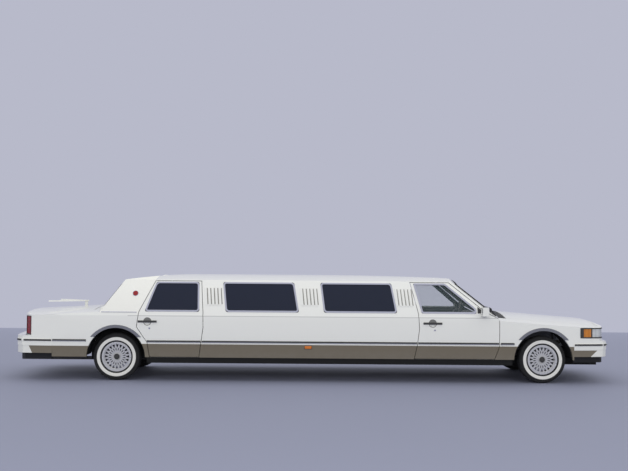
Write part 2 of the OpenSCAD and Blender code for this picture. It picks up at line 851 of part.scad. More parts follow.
// Rails end against the inner faces of the bumpers
rail_end = bumper_t + sag(bumper_bow - bumper_t, rail_y1) + fit;
pad_xs = [xf - 1065, xr + 865];
pad_w = 60;
pad_h = 12;
module frame_rails() color(rubber) {
    both_sides() along_y(rail_y0, rail_y1) polygon([
        [nose - rail_end, rail_z0], [nose - rail_end, rail_z1], [step_x, rail_z1], [step_x - 170, kick_z1],
        [xr - 380, kick_z1], [xr - 520, tail_z1], [tail + rail_end, tail_z1], [tail + rail_end, tail_z0],
        [xr - 480, tail_z0], [xr - 340, kick_z0], [step_x - 200, kick_z0], [step_x - 40, rail_z0]]);
    span(xf - cross_w, xf + cross_w, -rail_y0 - 1, rail_y0 + 1, rail_z0, rail_z1);
    for (i = [1 : cross_n]) translate([xr + 400 + i * cross_pitch, 0, 0])
        span(0, cross_w, -rail_y0 - 1, rail_y0 + 1, rail_z1 - 15, rail_z1);
    span(xr - 700, xr - 700 + cross_w, -rail_y0 - 1, rail_y0 + 1, tail_z0 + 15, tail_z1);
    span(nose - 240, nose - 240 + cross_w, -rail_y0 - 1, rail_y0 + 1, rail_z0, rail_z1);
    both_sides() for (x = pad_xs)
        span(x - pad_w / 2, x + pad_w / 2, rail_y0 + 10, rail_y1 - 10, rail_z0 - pad_h, rail_z0 + 1);
}

// Floor with sills, firewall, boot floor and the straps of the front doors
floor_t = 15;
floor_y = half_w - 46;
sill_y0 = half_w - 116;
sill_y1 = half_w - 31;
sill_h = 80;
well_y = half_w - 336;
step_x = xr + 480;
module floor_pan() color([0.2, 0.2, 0.2]) {
    span(step_x, wall_x + wall_t, -floor_y, floor_y, rail_z1, rail_z1 + floor_t);
    both_sides() span(xr + arch_r + 25, xf - arch_r - 25, sill_y0, sill_y1, sill_z - sill_h, sill_z);
    intersection() {
        front_end(roof_t);
        span(wall_x, wall_x + wall_t, -half_w, half_w, sill_z, wall_z);
    }
    span(step_x, step_x + floor_t, -well_y, well_y, rail_z1, kick_z1 + floor_t);
    span(tail + 240, step_x + 1, -well_y, well_y, kick_z1, kick_z1 + floor_t);
    intersection() {
        rear_end(roof_t);
        span(rear_bumper_x + gap, xr - arch_r - 45, -half_w, half_w, kick_z1, kick_z1 + floor_t);
    }
    both_sides() hinge_straps(fd1, wall_x - fd1 + 10);
}

// Liners over the wheels
liner_t = 6;
liner_out = 10;
module liner_ring(x) along_y(0, half_w) difference() {
    arch_at(x, arch_r + liner_out + liner_t);
    arch_at(x, arch_r + liner_out);
    translate([x - arch_zone, 0]) square([2 * arch_zone, tyre_r + 20]);
}
module wheel_liners() color(rubber) both_sides() {
    intersection() {
        liner_ring(xf);
        front_end(roof_t);
        span(xf - arch_zone, xf + arch_zone, rail_y1 + 25, half_w, 0, roof_z);
    }
    intersection() {
        liner_ring(xr);
        rear_end(roof_t);
        span(xr - arch_zone, xr + arch_zone, well_y, half_w, 0, roof_z);
    }
}

// Engine, gearbox, shaft and rear axle
shaft_z = 262;
axle_r = 45;
engine_x0 = xf - 420;
engine_x1 = xf + 330;
block_z = 640;
head_top_z = 740;
plenum_z = 800;
pulley_r = 95;
module engine() color([0.3, 0.3, 0.32]) {
    span(engine_x0, engine_x1, -170, 170, rail_z1, block_z);
    both_sides() span(engine_x0 + 40, engine_x1 - 40, 90, 260, block_z - 80, head_top_z);
    span(engine_x0 + 60, engine_x1 - 60, -120, 120, block_z - 1, plenum_z);
    for (z = [block_z - 190, block_z - 20]) translate([engine_x1 - 1, 0, z]) rotate([0, 90, 0])
        cylinder(r = pulley_r - (z > block_z - 100 ? 30 : 0), h = 41);
    both_sides() translate([engine_x1 - 1, 170, block_z - 30]) rotate([0, 90, 0]) cylinder(r = 70, h = 41);
}
gearbox_z0 = 235;
module driveline() color([0.25, 0.25, 0.26]) {
    span(wall_x + wall_t + 6, engine_x0, -160, 160, gearbox_z0, 600);
    span(xf - 1250, engine_x0, -130, 130, gearbox_z0, gearbox_z0 + 65);
    translate([xr + 90, 0, shaft_z]) rotate([0, 90, 0]) cylinder(r = 35, h = wheelbase - 1300);
    translate([xr, wheel_y - 60, tyre_r]) rotate([90, 0, 0]) cylinder(r = axle_r, h = 2 * wheel_y - 120);
    translate([xr, 130, tyre_r]) rotate([90, 0, 0]) cylinder(r = 130, h = 260);
    both_sides() {
        translate([xr, wheel_y - 80, tyre_r]) rotate([-90, 0, 0]) cylinder(r = 140, h = 50);
        translate([xr, wheel_y - 80, tyre_r]) rotate([-90, 0, 0]) cylinder(r = spindle_r, h = spindle_len);
        translate([xr, (rail_y0 + rail_y1) / 2, tyre_r]) cylinder(r = 38, h = kick_z0 - tyre_r);
    }
}
spindle_len = 125;

// Exhaust pipe, hung from the cross members
pipe_r = 25;
pipe_y = 70 - rail_y0;
pipe_z = 255;
pipe_end = tail + 30;
module exhaust() color([0.45, 0.45, 0.45]) difference() {
    union() {
        translate([pipe_end, pipe_y, pipe_z]) rotate([0, 90, 0]) cylinder(r = pipe_r, h = car_len - 2300);
        translate([xr + 900, pipe_y + 30, pipe_z]) rotate([0, 90, 0]) cylinder(r = 42, h = 620);
        for (i = [1, 3, 5]) translate([xr + 420 + i * cross_pitch, 0, 0])
            span(0, 20, pipe_y - 8, pipe_y + 8, pipe_z, rail_z1 - 15);
        span(xr - 680, xr - 660, pipe_y - 8, pipe_y + 8, pipe_z, tail_z0 + 15);
    }
    translate([pipe_end - 1, pipe_y, pipe_z]) rotate([0, 90, 0]) cylinder(r = pipe_r - 3, h = 200);
}

// Front suspension arms and the knuckles that carry the front wheels
ball_in = 112;
ball_out = 150;
king_r = 14;
module suspension_arms() color([0.18, 0.18, 0.18]) {
    both_sides() difference() {
        union() {
            span(xf - 28, xf + 28, rail_y0 + 10, king_y, tyre_r - ball_out, tyre_r - ball_in);
            span(xf - 28, xf + 28, rail_y0 + 10, rail_y1, tyre_r - ball_out, rail_z0);
            span(xf - 28, xf + 28, rail_y1 - 20, king_y, tyre_r + ball_in, tyre_r + ball_out);
            span(xf - 40, xf + 40, rail_y0 + 10, rail_y1, rail_z1, tyre_r + ball_out);
            translate([xf, king_y, tyre_r - ball_out]) cylinder(r = 28, h = ball_out - ball_in);
            translate([xf, king_y, tyre_r + ball_in]) cylinder(r = 28, h = ball_out - ball_in);
        }
        translate([xf, king_y, 0]) cylinder(r = king_r + fit, h = 3 * tyre_r);
    }
    span(xf - 190, xf - 160, -rail_y0, rail_y0, rail_z0 + 10, rail_z0 + 40);
}
module knuckle() color([0.35, 0.35, 0.36]) {
    translate([xf, king_y, tyre_r - ball_out]) cylinder(r = king_r, h = 2 * ball_out);
    translate([xf, king_y, tyre_r - ball_in + 2]) cylinder(r = 34, h = 2 * ball_in - 4);
    translate([xf, king_y, tyre_r]) rotate([-90, 0, 0]) cylinder(r = 44, h = 46);
    translate([xf, king_y, tyre_r]) rotate([-90, 0, 0])
        cylinder(r = spindle_r, h = kingpin_in - 80 + spindle_len);
    translate([xf, king_y + 38, tyre_r]) rotate([-90, 0, 0]) cylinder(r = 140, h = 24);
    span(xf - 150, xf, king_y - 34, king_y - 14, tyre_r - 70, tyre_r - 40);
}
module knuckle_left() knuckle();
module knuckle_right() mirror([0, 1, 0]) knuckle();

// Wheels: a rim with a lattice of triangular windows, and a tyre
rim_t = 14;
flange_w = 8;
face_z = 40;
face_t = 18;
hub_r = 56;
outer_turn = 124 / lattice_n;
inner_turn = 80 / lattice_n;
function polar(r, a) = [r * cos(a), r * sin(a)];
module lattice() difference() {
    circle(rim_r - rim_t - 4);
    for (i = [0 : lattice_n - 1]) rotate(i * 360 / lattice_n) {
        polygon([
            polar(rim_r - 38, outer_turn), polar(rim_r - 38, -outer_turn), polar(rim_r - 90, 0)]);
        rotate(180 / lattice_n) polygon([
            polar(rim_r - 78, 0), polar(rim_r - 104, inner_turn), polar(rim_r - 136, 0),
            polar(rim_r - 104, -inner_turn)]);
    }
}
module rim_barrel() polygon([
    [rim_r - 2 * rim_t, -rim_w / 2], [rim_r, -rim_w / 2], [rim_r, -rim_w / 2 + flange_w],
    [rim_r - rim_t, -rim_w / 2 + flange_w], [rim_r - rim_t, rim_w / 2 - flange_w],
    [rim_r, rim_w / 2 - flange_w], [rim_r, rim_w / 2], [rim_r - 2 * rim_t, rim_w / 2]]);
cap_z = face_z + face_t;
module hub_shape() polygon([
    [0, -15], [hub_r, -15], [hub_r, cap_z + 4], [hub_r - 12, cap_z + 16], [0, cap_z + 20]]);
module rim() difference() {
    union() {
        rotate_extrude($fn = 96) rim_barrel();
        translate([0, 0, face_z]) linear_extrude(face_t) lattice();
        rotate_extrude() hub_shape();
    }
    translate([0, 0, -16]) cylinder(r = spindle_r + fit, h = spindle_len - 80 + 17);
}
module rim_at(x, y) color(chrome) translate([x, y, tyre_r]) rotate([y > 0 ? -90 : 90, 0, 0]) rim();

// Tyre outline as share of its height and of its half width
tyre_shape = [[0.02, 0.8], [0.25, 0.965], [0.48, 1], [0.74, 0.95], [0.92, 0.84], [1, 0.66]];
bead_z = rim_w / 2 - flange_w;
function tyre_point(p, side) = [rim_r + p[0] * (tyre_r - rim_r), side * p[1] * tyre_w / 2];
module tyre_section() polygon(concat(
    [[rim_r - rim_t, bead_z], [rim_r, bead_z]],
    [for (p = tyre_shape) tyre_point(p, 1)],
    [for (i = [len(tyre_shape) - 1 : -1 : 0]) tyre_point(tyre_shape[i], -1)],
    [[rim_r, -bead_z], [rim_r - rim_t, -bead_z]]));
module tyre_at(x, y) color(rubber) translate([x, y, tyre_r]) rotate([90, 0, 0])
    rotate_extrude($fn = 96) tyre_section();
module rim_front_left() rim_at(xf, wheel_y);
module rim_front_right() rim_at(xf, -wheel_y);
module rim_rear_left() rim_at(xr, wheel_y);
module rim_rear_right() rim_at(xr, -wheel_y);
module tyre_front_left() tyre_at(xf, wheel_y);
module tyre_front_right() tyre_at(xf, -wheel_y);
module tyre_rear_left() tyre_at(xr, wheel_y);
module tyre_rear_right() tyre_at(xr, -wheel_y);

// Inside of the cabin
floor_z = rail_z1 + floor_t;
dash_x = wall_x - 360;
seat_x = fd0 + 50;
part_x = fd0 - 220;
part_glass = half_w - 416;
dash_y = half_w - 136;
seat_y0 = 110;
seat_y1 = half_w - 276;
bench_y1 = half_w - 126;
bench_y0 = bench_y1 - 470;
module dash_shape() along_y(-dash_y, dash_y) polygon([
    [dash_x, 700], [wall_x, 640], [wall_x, 825], [dash_x + 80, 920], [dash_x, 890]]);
module dashboard() color([0.35, 0.34, 0.33]) dash_shape();

// Steering wheel on its leaning column
wheel_seat_y = (seat_y0 + seat_y1) / 2;
column_z = 835;
column_len = 180;
column_lean = 65;
column_r = 30;
ring_r = 185;
module steering_wheel() color(rubber) difference() {
    translate([dash_x + 40, wheel_seat_y, column_z]) rotate([0, -column_lean, 0]) {
        cylinder(r = column_r, h = column_len);
        translate([0, 0, column_len]) {
            rotate_extrude() translate([ring_r, 0]) circle(14);
            cylinder(r = 55, h = 30, center = true);
            for (a = [60, 180, 300]) rotate(a) translate([0, -15, -8]) cube([ring_r - 5, 30, 16]);
        }
    }
    dash_shape();
}

// Seats and the wall behind the driver
module front_seats() color([0.75, 0.73, 0.68]) both_sides() along_y(seat_y0, seat_y1) polygon([
    [seat_x + 520, floor_z], [seat_x + 540, 540], [seat_x + 80, 510], [seat_x - 80, 1120],
    [seat_x - 180, 1110], [seat_x - 60, floor_z]]);
module partition() color([0.3, 0.28, 0.26]) difference() {
    intersection() {
        cabin(door_t);
        span(part_x, part_x + 30, -half_w, half_w, floor_z, head_z);
    }
    span(part_x - 1, part_x + 31, -part_glass, part_glass, 1000, 1330);
}
module lounge_seats() color([0.75, 0.73, 0.68]) {
    along_y(-well_y + 10, well_y - 10) polygon([
        [xr + 1125, floor_z], [xr + 1125, 500], [xr + 625, 470], [xr + 435, 1050], [xr + 345, 1050],
        [xr + 345, 520], [step_x + floor_t + 5, 520], [step_x + floor_t + 5, floor_z]]);
    along_x(rd1 + 350, part_x - 400) polygon([
        [bench_y0, floor_z], [bench_y0, 480], [bench_y1 - 130, 460], [bench_y1 - 100, 860], [bench_y1, 860],
        [bench_y1, floor_z]]);
}

frame_rails();
floor_pan();
roof_panel();
landau_top();
side_panels();
side_glass();
quarter_panels();
front_fenders();
nose_panel();
grille();
front_bumper();
rear_bumper();
head_lamps();
tail_lamps();
windshield();
rear_window();
cowl();
dashboard();
steering_wheel();
front_seats();
lounge_seats();
partition();
engine();
driveline();
exhaust();
suspension_arms();
wheel_liners();
arch_lips();
front_door_left();
front_door_right();
front_door_glass_left();
front_door_glass_right();
rear_door_left();
rear_door_right();
rear_door_glass_left();
rear_door_glass_right();
hood();
trunk_lid();
antenna();
knuckle_left();
knuckle_right();
rim_front_left();
rim_front_right();
rim_rear_left();
rim_rear_right();
tyre_front_left();
tyre_front_right();
tyre_rear_left();
tyre_rear_right();
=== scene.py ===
"""Dresses a stretched luxury sedan: finishes, trim, seats, lamps, studio light and camera."""
import logging
import math
from contextlib import contextmanager
from dataclasses import dataclass, field
from enum import Enum
from typing import Any, Callable, Iterator, Sequence

import bpy
from mathutils import Matrix, Vector


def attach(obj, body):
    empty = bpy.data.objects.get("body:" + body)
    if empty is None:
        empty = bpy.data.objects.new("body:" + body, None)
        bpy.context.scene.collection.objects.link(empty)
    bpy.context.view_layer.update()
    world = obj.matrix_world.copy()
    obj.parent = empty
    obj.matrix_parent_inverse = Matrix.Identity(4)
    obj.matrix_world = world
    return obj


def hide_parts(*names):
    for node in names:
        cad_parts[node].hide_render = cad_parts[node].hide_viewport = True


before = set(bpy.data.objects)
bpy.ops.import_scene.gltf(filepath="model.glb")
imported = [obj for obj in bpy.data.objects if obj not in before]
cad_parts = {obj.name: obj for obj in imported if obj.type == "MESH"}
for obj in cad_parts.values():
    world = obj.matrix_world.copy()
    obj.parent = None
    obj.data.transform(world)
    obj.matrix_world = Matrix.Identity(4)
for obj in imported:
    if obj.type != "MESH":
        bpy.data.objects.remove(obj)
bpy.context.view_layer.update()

LOG = logging.getLogger("limousine")
Point = tuple[float, float, float]
Colour = tuple[float, float, float]
Spot = tuple[float, float]


# Shader graphs

class Value:
    """A socket of a shader graph, with operators that add Math nodes."""

    def __init__(self, graph: "Graph", socket: bpy.types.NodeSocket) -> None:
        """Wraps a socket.

        Args:
            graph: the graph that the socket belongs to.
            socket: an output socket.
        """
        self.graph = graph
        self.socket = socket

    def _math(self, operation: str, *others: Any) -> "Value":
        """Adds a Math node on this value and others, and returns its result."""
        inputs = dict(enumerate((self,) + others))
        return self.graph.add("ShaderNodeMath", {"operation": operation}, inputs)

    def __add__(self, other: Any) -> "Value":
        """Sum."""
        return self._math("ADD", other)

    __radd__ = __add__

    def __mul__(self, other: Any) -> "Value":
        """Product."""
        return self._math("MULTIPLY", other)

    __rmul__ = __mul__

    def __sub__(self, other: Any) -> "Value":
        """Difference."""
        return self._math("SUBTRACT", other)

    def __rsub__(self, other: Any) -> "Value":
        """Difference from a number."""
        return self._math("MULTIPLY", -1.0) + other

    def __abs__(self) -> "Value":
        """Size without sign."""
        return self._math("ABSOLUTE")

    def sine(self) -> "Value":
        """Sine of the value in radians."""
        return self._math("SINE")

    def root(self) -> "Value":
        """Square root."""
        return self._math("SQRT")

    def over(self, edge: float, soft: float = 0.001) -> "Value":
        """A mask that is 1 where the value is over an edge.

        Args:
            edge: where the mask is one half.
            soft: half the width of the step.

        Returns:
            The mask.
        """
        settings = {"interpolation_type": "SMOOTHSTEP"}
        return self.graph.add("ShaderNodeMapRange", settings, {0: self, 1: edge - soft, 2: edge + soft})

    def under(self, edge: float, soft: float = 0.001) -> "Value":
        """A mask that is 1 where the value is under an edge."""
        return 1.0 - self.over(edge, soft)

    def either(self, other: "Value") -> "Value":
        """A mask that is 1 where this mask or another one is."""
        return self + other - self * other


class Graph:
    """The node tree of one material, with a principled shader."""

    def __init__(self, name: str) -> None:
        """Makes the material.

        Args:
            name: the material's name.
        """
        self.material = bpy.data.materials.new(name)
        self.material.use_nodes = True
        self.tree = self.material.node_tree
        self.shader = self.tree.nodes["Principled BSDF"]
        self.coords = self.tree.nodes.new("ShaderNodeTexCoord")
        self.spot = Value(self, self.coords.outputs["Object"])

    def add(self, kind: str, settings: dict[str, Any], inputs: dict[Any, Any], out: Any = 0) -> Value:
        """Adds a node.

        Args:
            kind: the node's type.
            settings: its properties, which are set first.
            inputs: values or links of its sockets, by index or name.
            out: index or name of the output that is wanted.

        Returns:
            The output, wrapped.
        """
        node = self.tree.nodes.new(kind)
        for key, value in settings.items():
            setattr(node, key, value)
        for key, value in inputs.items():
            self.feed(node.inputs[key], value)
        return Value(self, node.outputs[out])

    def feed(self, socket: bpy.types.NodeSocket, value: Any) -> None:
        """Links a wrapped value to a socket, or sets a number or colour on it."""
        if isinstance(value, Value):
            self.tree.links.new(value.socket, socket)
        elif isinstance(value, tuple) and len(value) == 3 and socket.type == "RGBA":
            socket.default_value = (*value, 1.0)
        else:
            socket.default_value = value

    def finish(self, **sockets: Any) -> None:
        """Feeds the principled shader's sockets, named in lower case with underscores."""
        for key, value in sockets.items():
            name = key.replace("_", " ").title().replace("Ior", "IOR")
            self.feed(self.shader.inputs[name], value)

    def axes(self, output: str = "Object") -> tuple[Value, Value, Value]:
        """The X, Y and Z of the surface point, or of its normal."""
        node = self.tree.nodes.new("ShaderNodeSeparateXYZ")
        self.tree.links.new(self.coords.outputs[output], node.inputs[0])
        return tuple(Value(self, socket) for socket in node.outputs)

    def inwards(self, down: float) -> tuple[Value, Value]:
        """Masks of the faces that look to the car's middle, and of those that look down."""
        _, y, _ = self.axes()
        _, ny, nz = self.axes("Normal")
        return (y * ny).under(-0.35, 0.1), nz.under(down, 0.1)

    def noise(self, scale: float, detail: float = 3.0, stretch: Point = (1.0, 1.0, 1.0)) -> Value:
        """A noise from 0 to 1 on the surface.

        Args:
            scale: how many lumps there are to a metre.
            detail: how many finer layers there are.
            stretch: scale along each axis.

        Returns:
            The noise.
        """
        mapped = self.add("ShaderNodeMapping", {}, {"Vector": self.spot, "Scale": stretch})
        return self.add("ShaderNodeTexNoise", {}, {"Vector": mapped, "Scale": scale, "Detail": detail})

    def cells(self, scale: float) -> Value:
        """Distance to the nearest of many scattered points, for grain."""
        return self.add("ShaderNodeTexVoronoi", {}, {"Vector": self.spot, "Scale": scale})

    def mix(self, factor: Any, low: Any, high: Any) -> Value:
        """A colour between two colours."""
        settings = {"data_type": "RGBA"}
        return self.add("ShaderNodeMix", settings, {0: factor, 6: low, 7: high}, 2)

    def bump(self, height: Value, depth: float, strength: float = 1.0) -> Value:
        """A normal that follows a height in units of a depth in metres."""
        inputs = {"Height": height, "Distance": depth, "Strength": strength}
        return self.add("ShaderNodeBump", {}, inputs)


# Finishes

def toned(colour: Colour, by: float, lift: float = 0.0) -> Colour:
    """A colour made lighter or darker."""
    return tuple(by * part + lift for part in colour)


@dataclass(frozen=True)
class Finish:
    """A surface finish, made into a material once."""

    name: str

    def material(self) -> bpy.types.Material:
        """The finish's material, made at its first use."""
        known = bpy.data.materials.get(self.name)
        if known:
            return known
        graph = Graph(self.name)
        self.paint(graph)
        return graph.material

    def paint(self, graph: Graph) -> None:
        """Builds the shader."""
        raise NotImplementedError

    def dress(self, piece: bpy.types.Object) -> None:
        """Gives a piece or a CAD node this finish all over."""
        if not piece.material_slots:
            piece.data.materials.append(None)
        for slot in piece.material_slots:
            slot.material = self.material()


@dataclass(frozen=True)
class BodyPaint(Finish):
    """Glossy paint in two tones with a coach line, and a lining on the faces that look inwards.

    The lower tone is a band below band_z, between ends that slant. Below dark_z the paint is black.
    """

    upper: Colour = (0.83, 0.83, 0.80)
    lower: Colour = (0.172, 0.146, 0.104)
    lining: Colour = (0.075, 0.072, 0.067)
    line: Colour = (0.55, 0.55, 0.535)
    dust: Colour = (0.30, 0.28, 0.25)
    black: Colour = (0.012, 0.012, 0.013)
    band_z: float = 0.523
    band_x0: float = -100.0
    band_x1: float = 100.0
    slant_back: float = 0.5
    slant_front: float = 1.1
    tail_x: float = -2.90
    tail_band_z: float = 0.488
    line_z: float = 0.918
    line_half: float = 0.005
    line_end: float = 2.60
    dust_z: float = 0.42
    head_z: float = 1.2
    dark_z: float = 0.0
    lined: bool = True

    def band(self, x: Value, z: Value) -> Value:
        """A mask of the lower tone."""
        drop = self.band_z - z
        mask = z.under(self.band_z) * (1.0 - x.under(self.tail_x) * z.over(self.tail_band_z))
        mask = mask * (x - drop * self.slant_back).over(self.band_x0)
        return mask * (x + drop * self.slant_front).under(self.band_x1)

    def paint(self, graph: Graph) -> None:
        """Builds the shader."""
        x, _, z = graph.axes()
        band = self.band(x, z)
        haze = graph.noise(3.0, 4.0)
        flake = graph.noise(900.0, 1.0)
        coach_line = abs(z - self.line_z).under(self.line_half, 0.002) * abs(x).under(self.line_end)
        upper = graph.mix(haze * 0.10, self.upper, toned(self.upper, 0.93))
        lower = graph.mix(flake * 0.5 + haze * 0.2, self.lower, toned(self.lower, 1.35))
        colour = graph.mix(band, graph.mix(coach_line, upper, self.line), lower)
        dust = z.under(self.dust_z, 0.12) * graph.noise(14.0, 5.0) * 0.35
        colour = graph.mix(dust, colour, self.dust)
        inside = black = 0.0
        if self.lined:
            side, head = graph.inwards(-0.5)
            inside = side.either(head * z.over(self.head_z, 0.02))
            weave = graph.noise(420.0, 2.0)
            colour = graph.mix(inside, colour, graph.mix(weave, self.lining, toned(self.lining, 1.3)))
        if self.dark_z:
            black = z.under(self.dark_z)
            colour = graph.mix(black, colour, self.black)
        bare = (1.0 - inside) * (1.0 - black)
        rough = 0.26 + haze * 0.06 + dust * 0.5 + inside * 0.5 + black * 0.25
        graph.finish(base_color=colour, roughness=rough, metallic=band * 0.2 * bare,
                     coat_weight=bare * (0.8 - band * 0.45), coat_roughness=0.04,
                     normal=graph.bump(graph.noise(160.0, 2.0), 0.0002, 0.25))


@dataclass(frozen=True)
class Metal(Finish):
    """Plated, cast or machined metal."""

    colour: Colour = (0.56, 0.57, 0.59)
    rough: float = 0.09
    grain: float = 60.0
    grain_depth: float = 0.0001
    worn: float = 0.1

    def paint(self, graph: Graph) -> None:
        """Builds the shader."""
        cloud = graph.noise(self.grain * 0.3, 4.0)
        fine = graph.noise(self.grain * 12.0, 2.0)
        colour = graph.mix(cloud * self.worn * 2.0, self.colour, toned(self.colour, 0.6))
        graph.finish(base_color=colour, metallic=1.0, roughness=self.rough + cloud * self.worn,
                     normal=graph.bump(fine, self.grain_depth))


@dataclass(frozen=True)
class GrilleMetal(Metal):
    """Bright metal that is painted black deep between its bars."""

    black: Colour = (0.008, 0.008, 0.009)
    deep_x: float = 4.176
    half_y: float = 0.302
    low_z: float = 0.626
    high_z: float = 0.754

    def paint(self, graph: Graph) -> None:
        """Builds the shader."""
        x, y, z = graph.axes()
        opening = abs(y).under(self.half_y) * z.over(self.low_z) * z.under(self.high_z)
        deep = x.under(self.deep_x, 0.008) * opening
        cloud = graph.noise(self.grain * 0.3, 4.0)
        fine = graph.noise(self.grain * 12.0, 2.0)
        graph.finish(base_color=graph.mix(deep, self.colour, self.black), metallic=1.0 - deep,
                     roughness=self.rough + cloud * self.worn + deep * 0.5,
                     normal=graph.bump(fine, self.grain_depth))


@dataclass(frozen=True)
class Plastic(Finish):
    """Moulded plastic or rubber with a fine grain."""

    colour: Colour = (0.015, 0.015, 0.016)
    rough: float = 0.5
    grain: float = 700.0
    grain_depth: float = 0.0002
    dusty: float = 0.15

    def paint(self, graph: Graph) -> None:
        """Builds the shader."""
        dust = graph.noise(9.0, 5.0) * self.dusty
        colour = graph.mix(dust, self.colour, toned(self.colour, 0.6, 0.06))
        graph.finish(base_color=colour, roughness=self.rough + dust * 0.6,
                     normal=graph.bump(graph.cells(self.grain), self.grain_depth))


@dataclass(frozen=True)
class Vinyl(Finish):
    """Padded vinyl with a leather grain, and a lining on the faces that look inwards."""

    colour: Colour = (0.90, 0.895, 0.855)
    shade: Colour = (0.80, 0.79, 0.74)
    lining: Colour = (0.30, 0.285, 0.26)

    def paint(self, graph: Graph) -> None:
        """Builds the shader."""
        grain = graph.cells(330.0)
        soft = graph.noise(5.0, 3.0)
        side, head = graph.inwards(-0.4)
        colour = graph.mix(grain * 0.5 + soft * 0.25, self.colour, self.shade)
        colour = graph.mix(side.either(head), colour, self.lining)
        height = grain * 0.7 + graph.noise(900.0, 2.0) * 0.3 + soft * 4.0
        graph.finish(base_color=colour, roughness=0.5 + soft * 0.1, normal=graph.bump(height, 0.0005))


@dataclass(frozen=True)
class Leather(Finish):
    """Upholstery hide with creases."""

    colour: Colour = (0.40, 0.375, 0.335)

    def paint(self, graph: Graph) -> None:
        """Builds the shader."""
        pores = graph.cells(420.0)
        crease = graph.noise(26.0, 6.0)
        colour = graph.mix(pores * 0.45 + crease * 0.25, self.colour, toned(self.colour, 0.55))
        graph.finish(base_color=colour, roughness=0.42 + crease * 0.2,
                     normal=graph.bump(pores + crease * 2.0, 0.0006))


@dataclass(frozen=True)
class Carpet(Finish):
    """Cut pile carpet on a floor whose underside is sealed black."""

    colour: Colour = (0.075, 0.07, 0.066)
    black: Colour = (0.006, 0.006, 0.006)
    dark_z: float = 0.333

    def paint(self, graph: Graph) -> None:
        """Builds the shader."""
        _, _, z = graph.axes()
        pile = graph.noise(600.0, 3.0)
        tread = graph.noise(7.0, 4.0)
        colour = graph.mix(pile * 0.6 + tread * 0.3, self.colour, toned(self.colour, 1.9))
        graph.finish(base_color=graph.mix(z.under(self.dark_z), colour, self.black), roughness=0.95,
                     sheen_weight=0.3, normal=graph.bump(pile, 0.002))


@dataclass(frozen=True)
class Glass(Finish):
    """Car glass with a tint, a film of dust and a darker shade above shade_z."""

    colour: Colour = (0.006, 0.010, 0.025)
    cover: float = 0.97
    shade_z: float = 2.0
    shade_cover: float = 0.98
    gloss: float = 0.5

    def paint(self, graph: Graph) -> None:
        """Builds the shader."""
        _, _, z = graph.axes()
        film = graph.noise(11.0, 5.0)
        shade = z.over(self.shade_z, 0.05)
        graph.finish(base_color=graph.mix(film * 0.25, self.colour, toned(self.colour, 1.0, 0.012)),
                     roughness=0.015 + film * 0.02,
                     alpha=self.cover + shade * (self.shade_cover - self.cover),
                     specular_ior_level=self.gloss)


@dataclass(frozen=True)
class Lens(Finish):
    """Moulded lamp lens of two colours, with flutes on its inside."""

    colour: Colour = (0.8, 0.8, 0.8)
    second: Colour = (0.8, 0.8, 0.8)
    split_x: float = 100.0
    flute: float = 900.0
    clear: float = 0.55
    coat: float = 1.0
    gloss: float = 0.5

    def paint(self, graph: Graph) -> None:
        """Builds the shader."""
        x, y, z = graph.axes()
        ribs = (y * self.flute).sine() * 0.5 + (z * self.flute * 0.4).sine() * 0.5
        part = x.over(self.split_x)
        colour = graph.mix(part, self.colour, self.second)
        dim = graph.mix(part, toned(self.colour, 0.5), toned(self.second, 0.5))
        glow = graph.mix(ribs * 0.25 + 0.25, colour, dim)
        graph.finish(base_color=glow, roughness=0.08 + ribs * 0.03, alpha=self.clear, coat_weight=self.coat,
                     specular_ior_level=self.gloss, normal=graph.bump(ribs, 0.0008, 0.6))


@dataclass(frozen=True)
class TyreRubber(Finish):
    """Tyre rubber with a white band and fine rings on its outer wall."""

    hub_x: float = 0.0
    hub_z: float = 0.332
    hub_y: float = 0.8
    white_in: float = 0.231
    white_out: float = 0.276
    rings_in: float = 0.285
    rings_out: float = 0.315
    black: Colour = (0.014, 0.014, 0.015)
    grey: Colour = (0.035, 0.034, 0.033)
    white: Colour = (0.80, 0.79, 0.76)
    soiled: Colour = (0.62, 0.60, 0.56)

    def paint(self, graph: Graph) -> None:
        """Builds the shader."""
        x, y, z = graph.axes()
        dx, dz = x - self.hub_x, z - self.hub_z
        radius = (dx * dx + dz * dz).root()
        outer = abs(y).over(self.hub_y)
        white = radius.over(self.white_in) * radius.under(self.white_out) * outer
        scuff = graph.noise(40.0, 5.0)
        colour = graph.mix(white, graph.mix(scuff * 0.6, self.black, self.grey),
                           graph.mix(scuff * 0.35, self.white, self.soiled))
        rings = (radius * 1500.0).sine() * radius.over(self.rings_in) * radius.under(self.rings_out)
        graph.finish(base_color=colour, roughness=0.75 - white * 0.2 + scuff * 0.1,
                     normal=graph.bump(rings + scuff * 0.5, 0.0006))


@dataclass(frozen=True)
class Alloy(Finish):
    """Bright cast alloy with dark paint deep in its windows."""

    face_y: float = 0.83
    colour: Colour = (0.86, 0.85, 0.82)
    dull: Colour = (0.70, 0.69, 0.66)
    dark: Colour = (0.03, 0.03, 0.03)

    def paint(self, graph: Graph) -> None:
        """Builds the shader."""
        _, y, _ = graph.axes()
        deep = abs(y).under(self.face_y, 0.012)
        cloud = graph.noise(30.0, 4.0)
        bright = graph.mix(cloud * 0.4, self.colour, self.dull)
        graph.finish(base_color=graph.mix(deep, bright, self.dark), metallic=0.75 - deep * 0.55,
                     roughness=0.24 + cloud * 0.1 + deep * 0.3,
                     normal=graph.bump(graph.noise(500.0, 2.0), 0.0001))


@dataclass(frozen=True)
class Ground(Finish):
    """Pale painted floor."""

    colour: Colour = (0.255, 0.268, 0.365)

    def paint(self, graph: Graph) -> None:
        """Builds the shader."""
        cloud = graph.noise(0.5, 5.0)
        graph.finish(base_color=graph.mix(cloud * 0.12, self.colour, toned(self.colour, 0.9)),
                     roughness=0.75)


# Modelling steps

class Pick(Enum):
    """What an edit step selects."""

    VERTICES = "VERT"
    EDGES = "EDGE"
    FACES = "FACE"


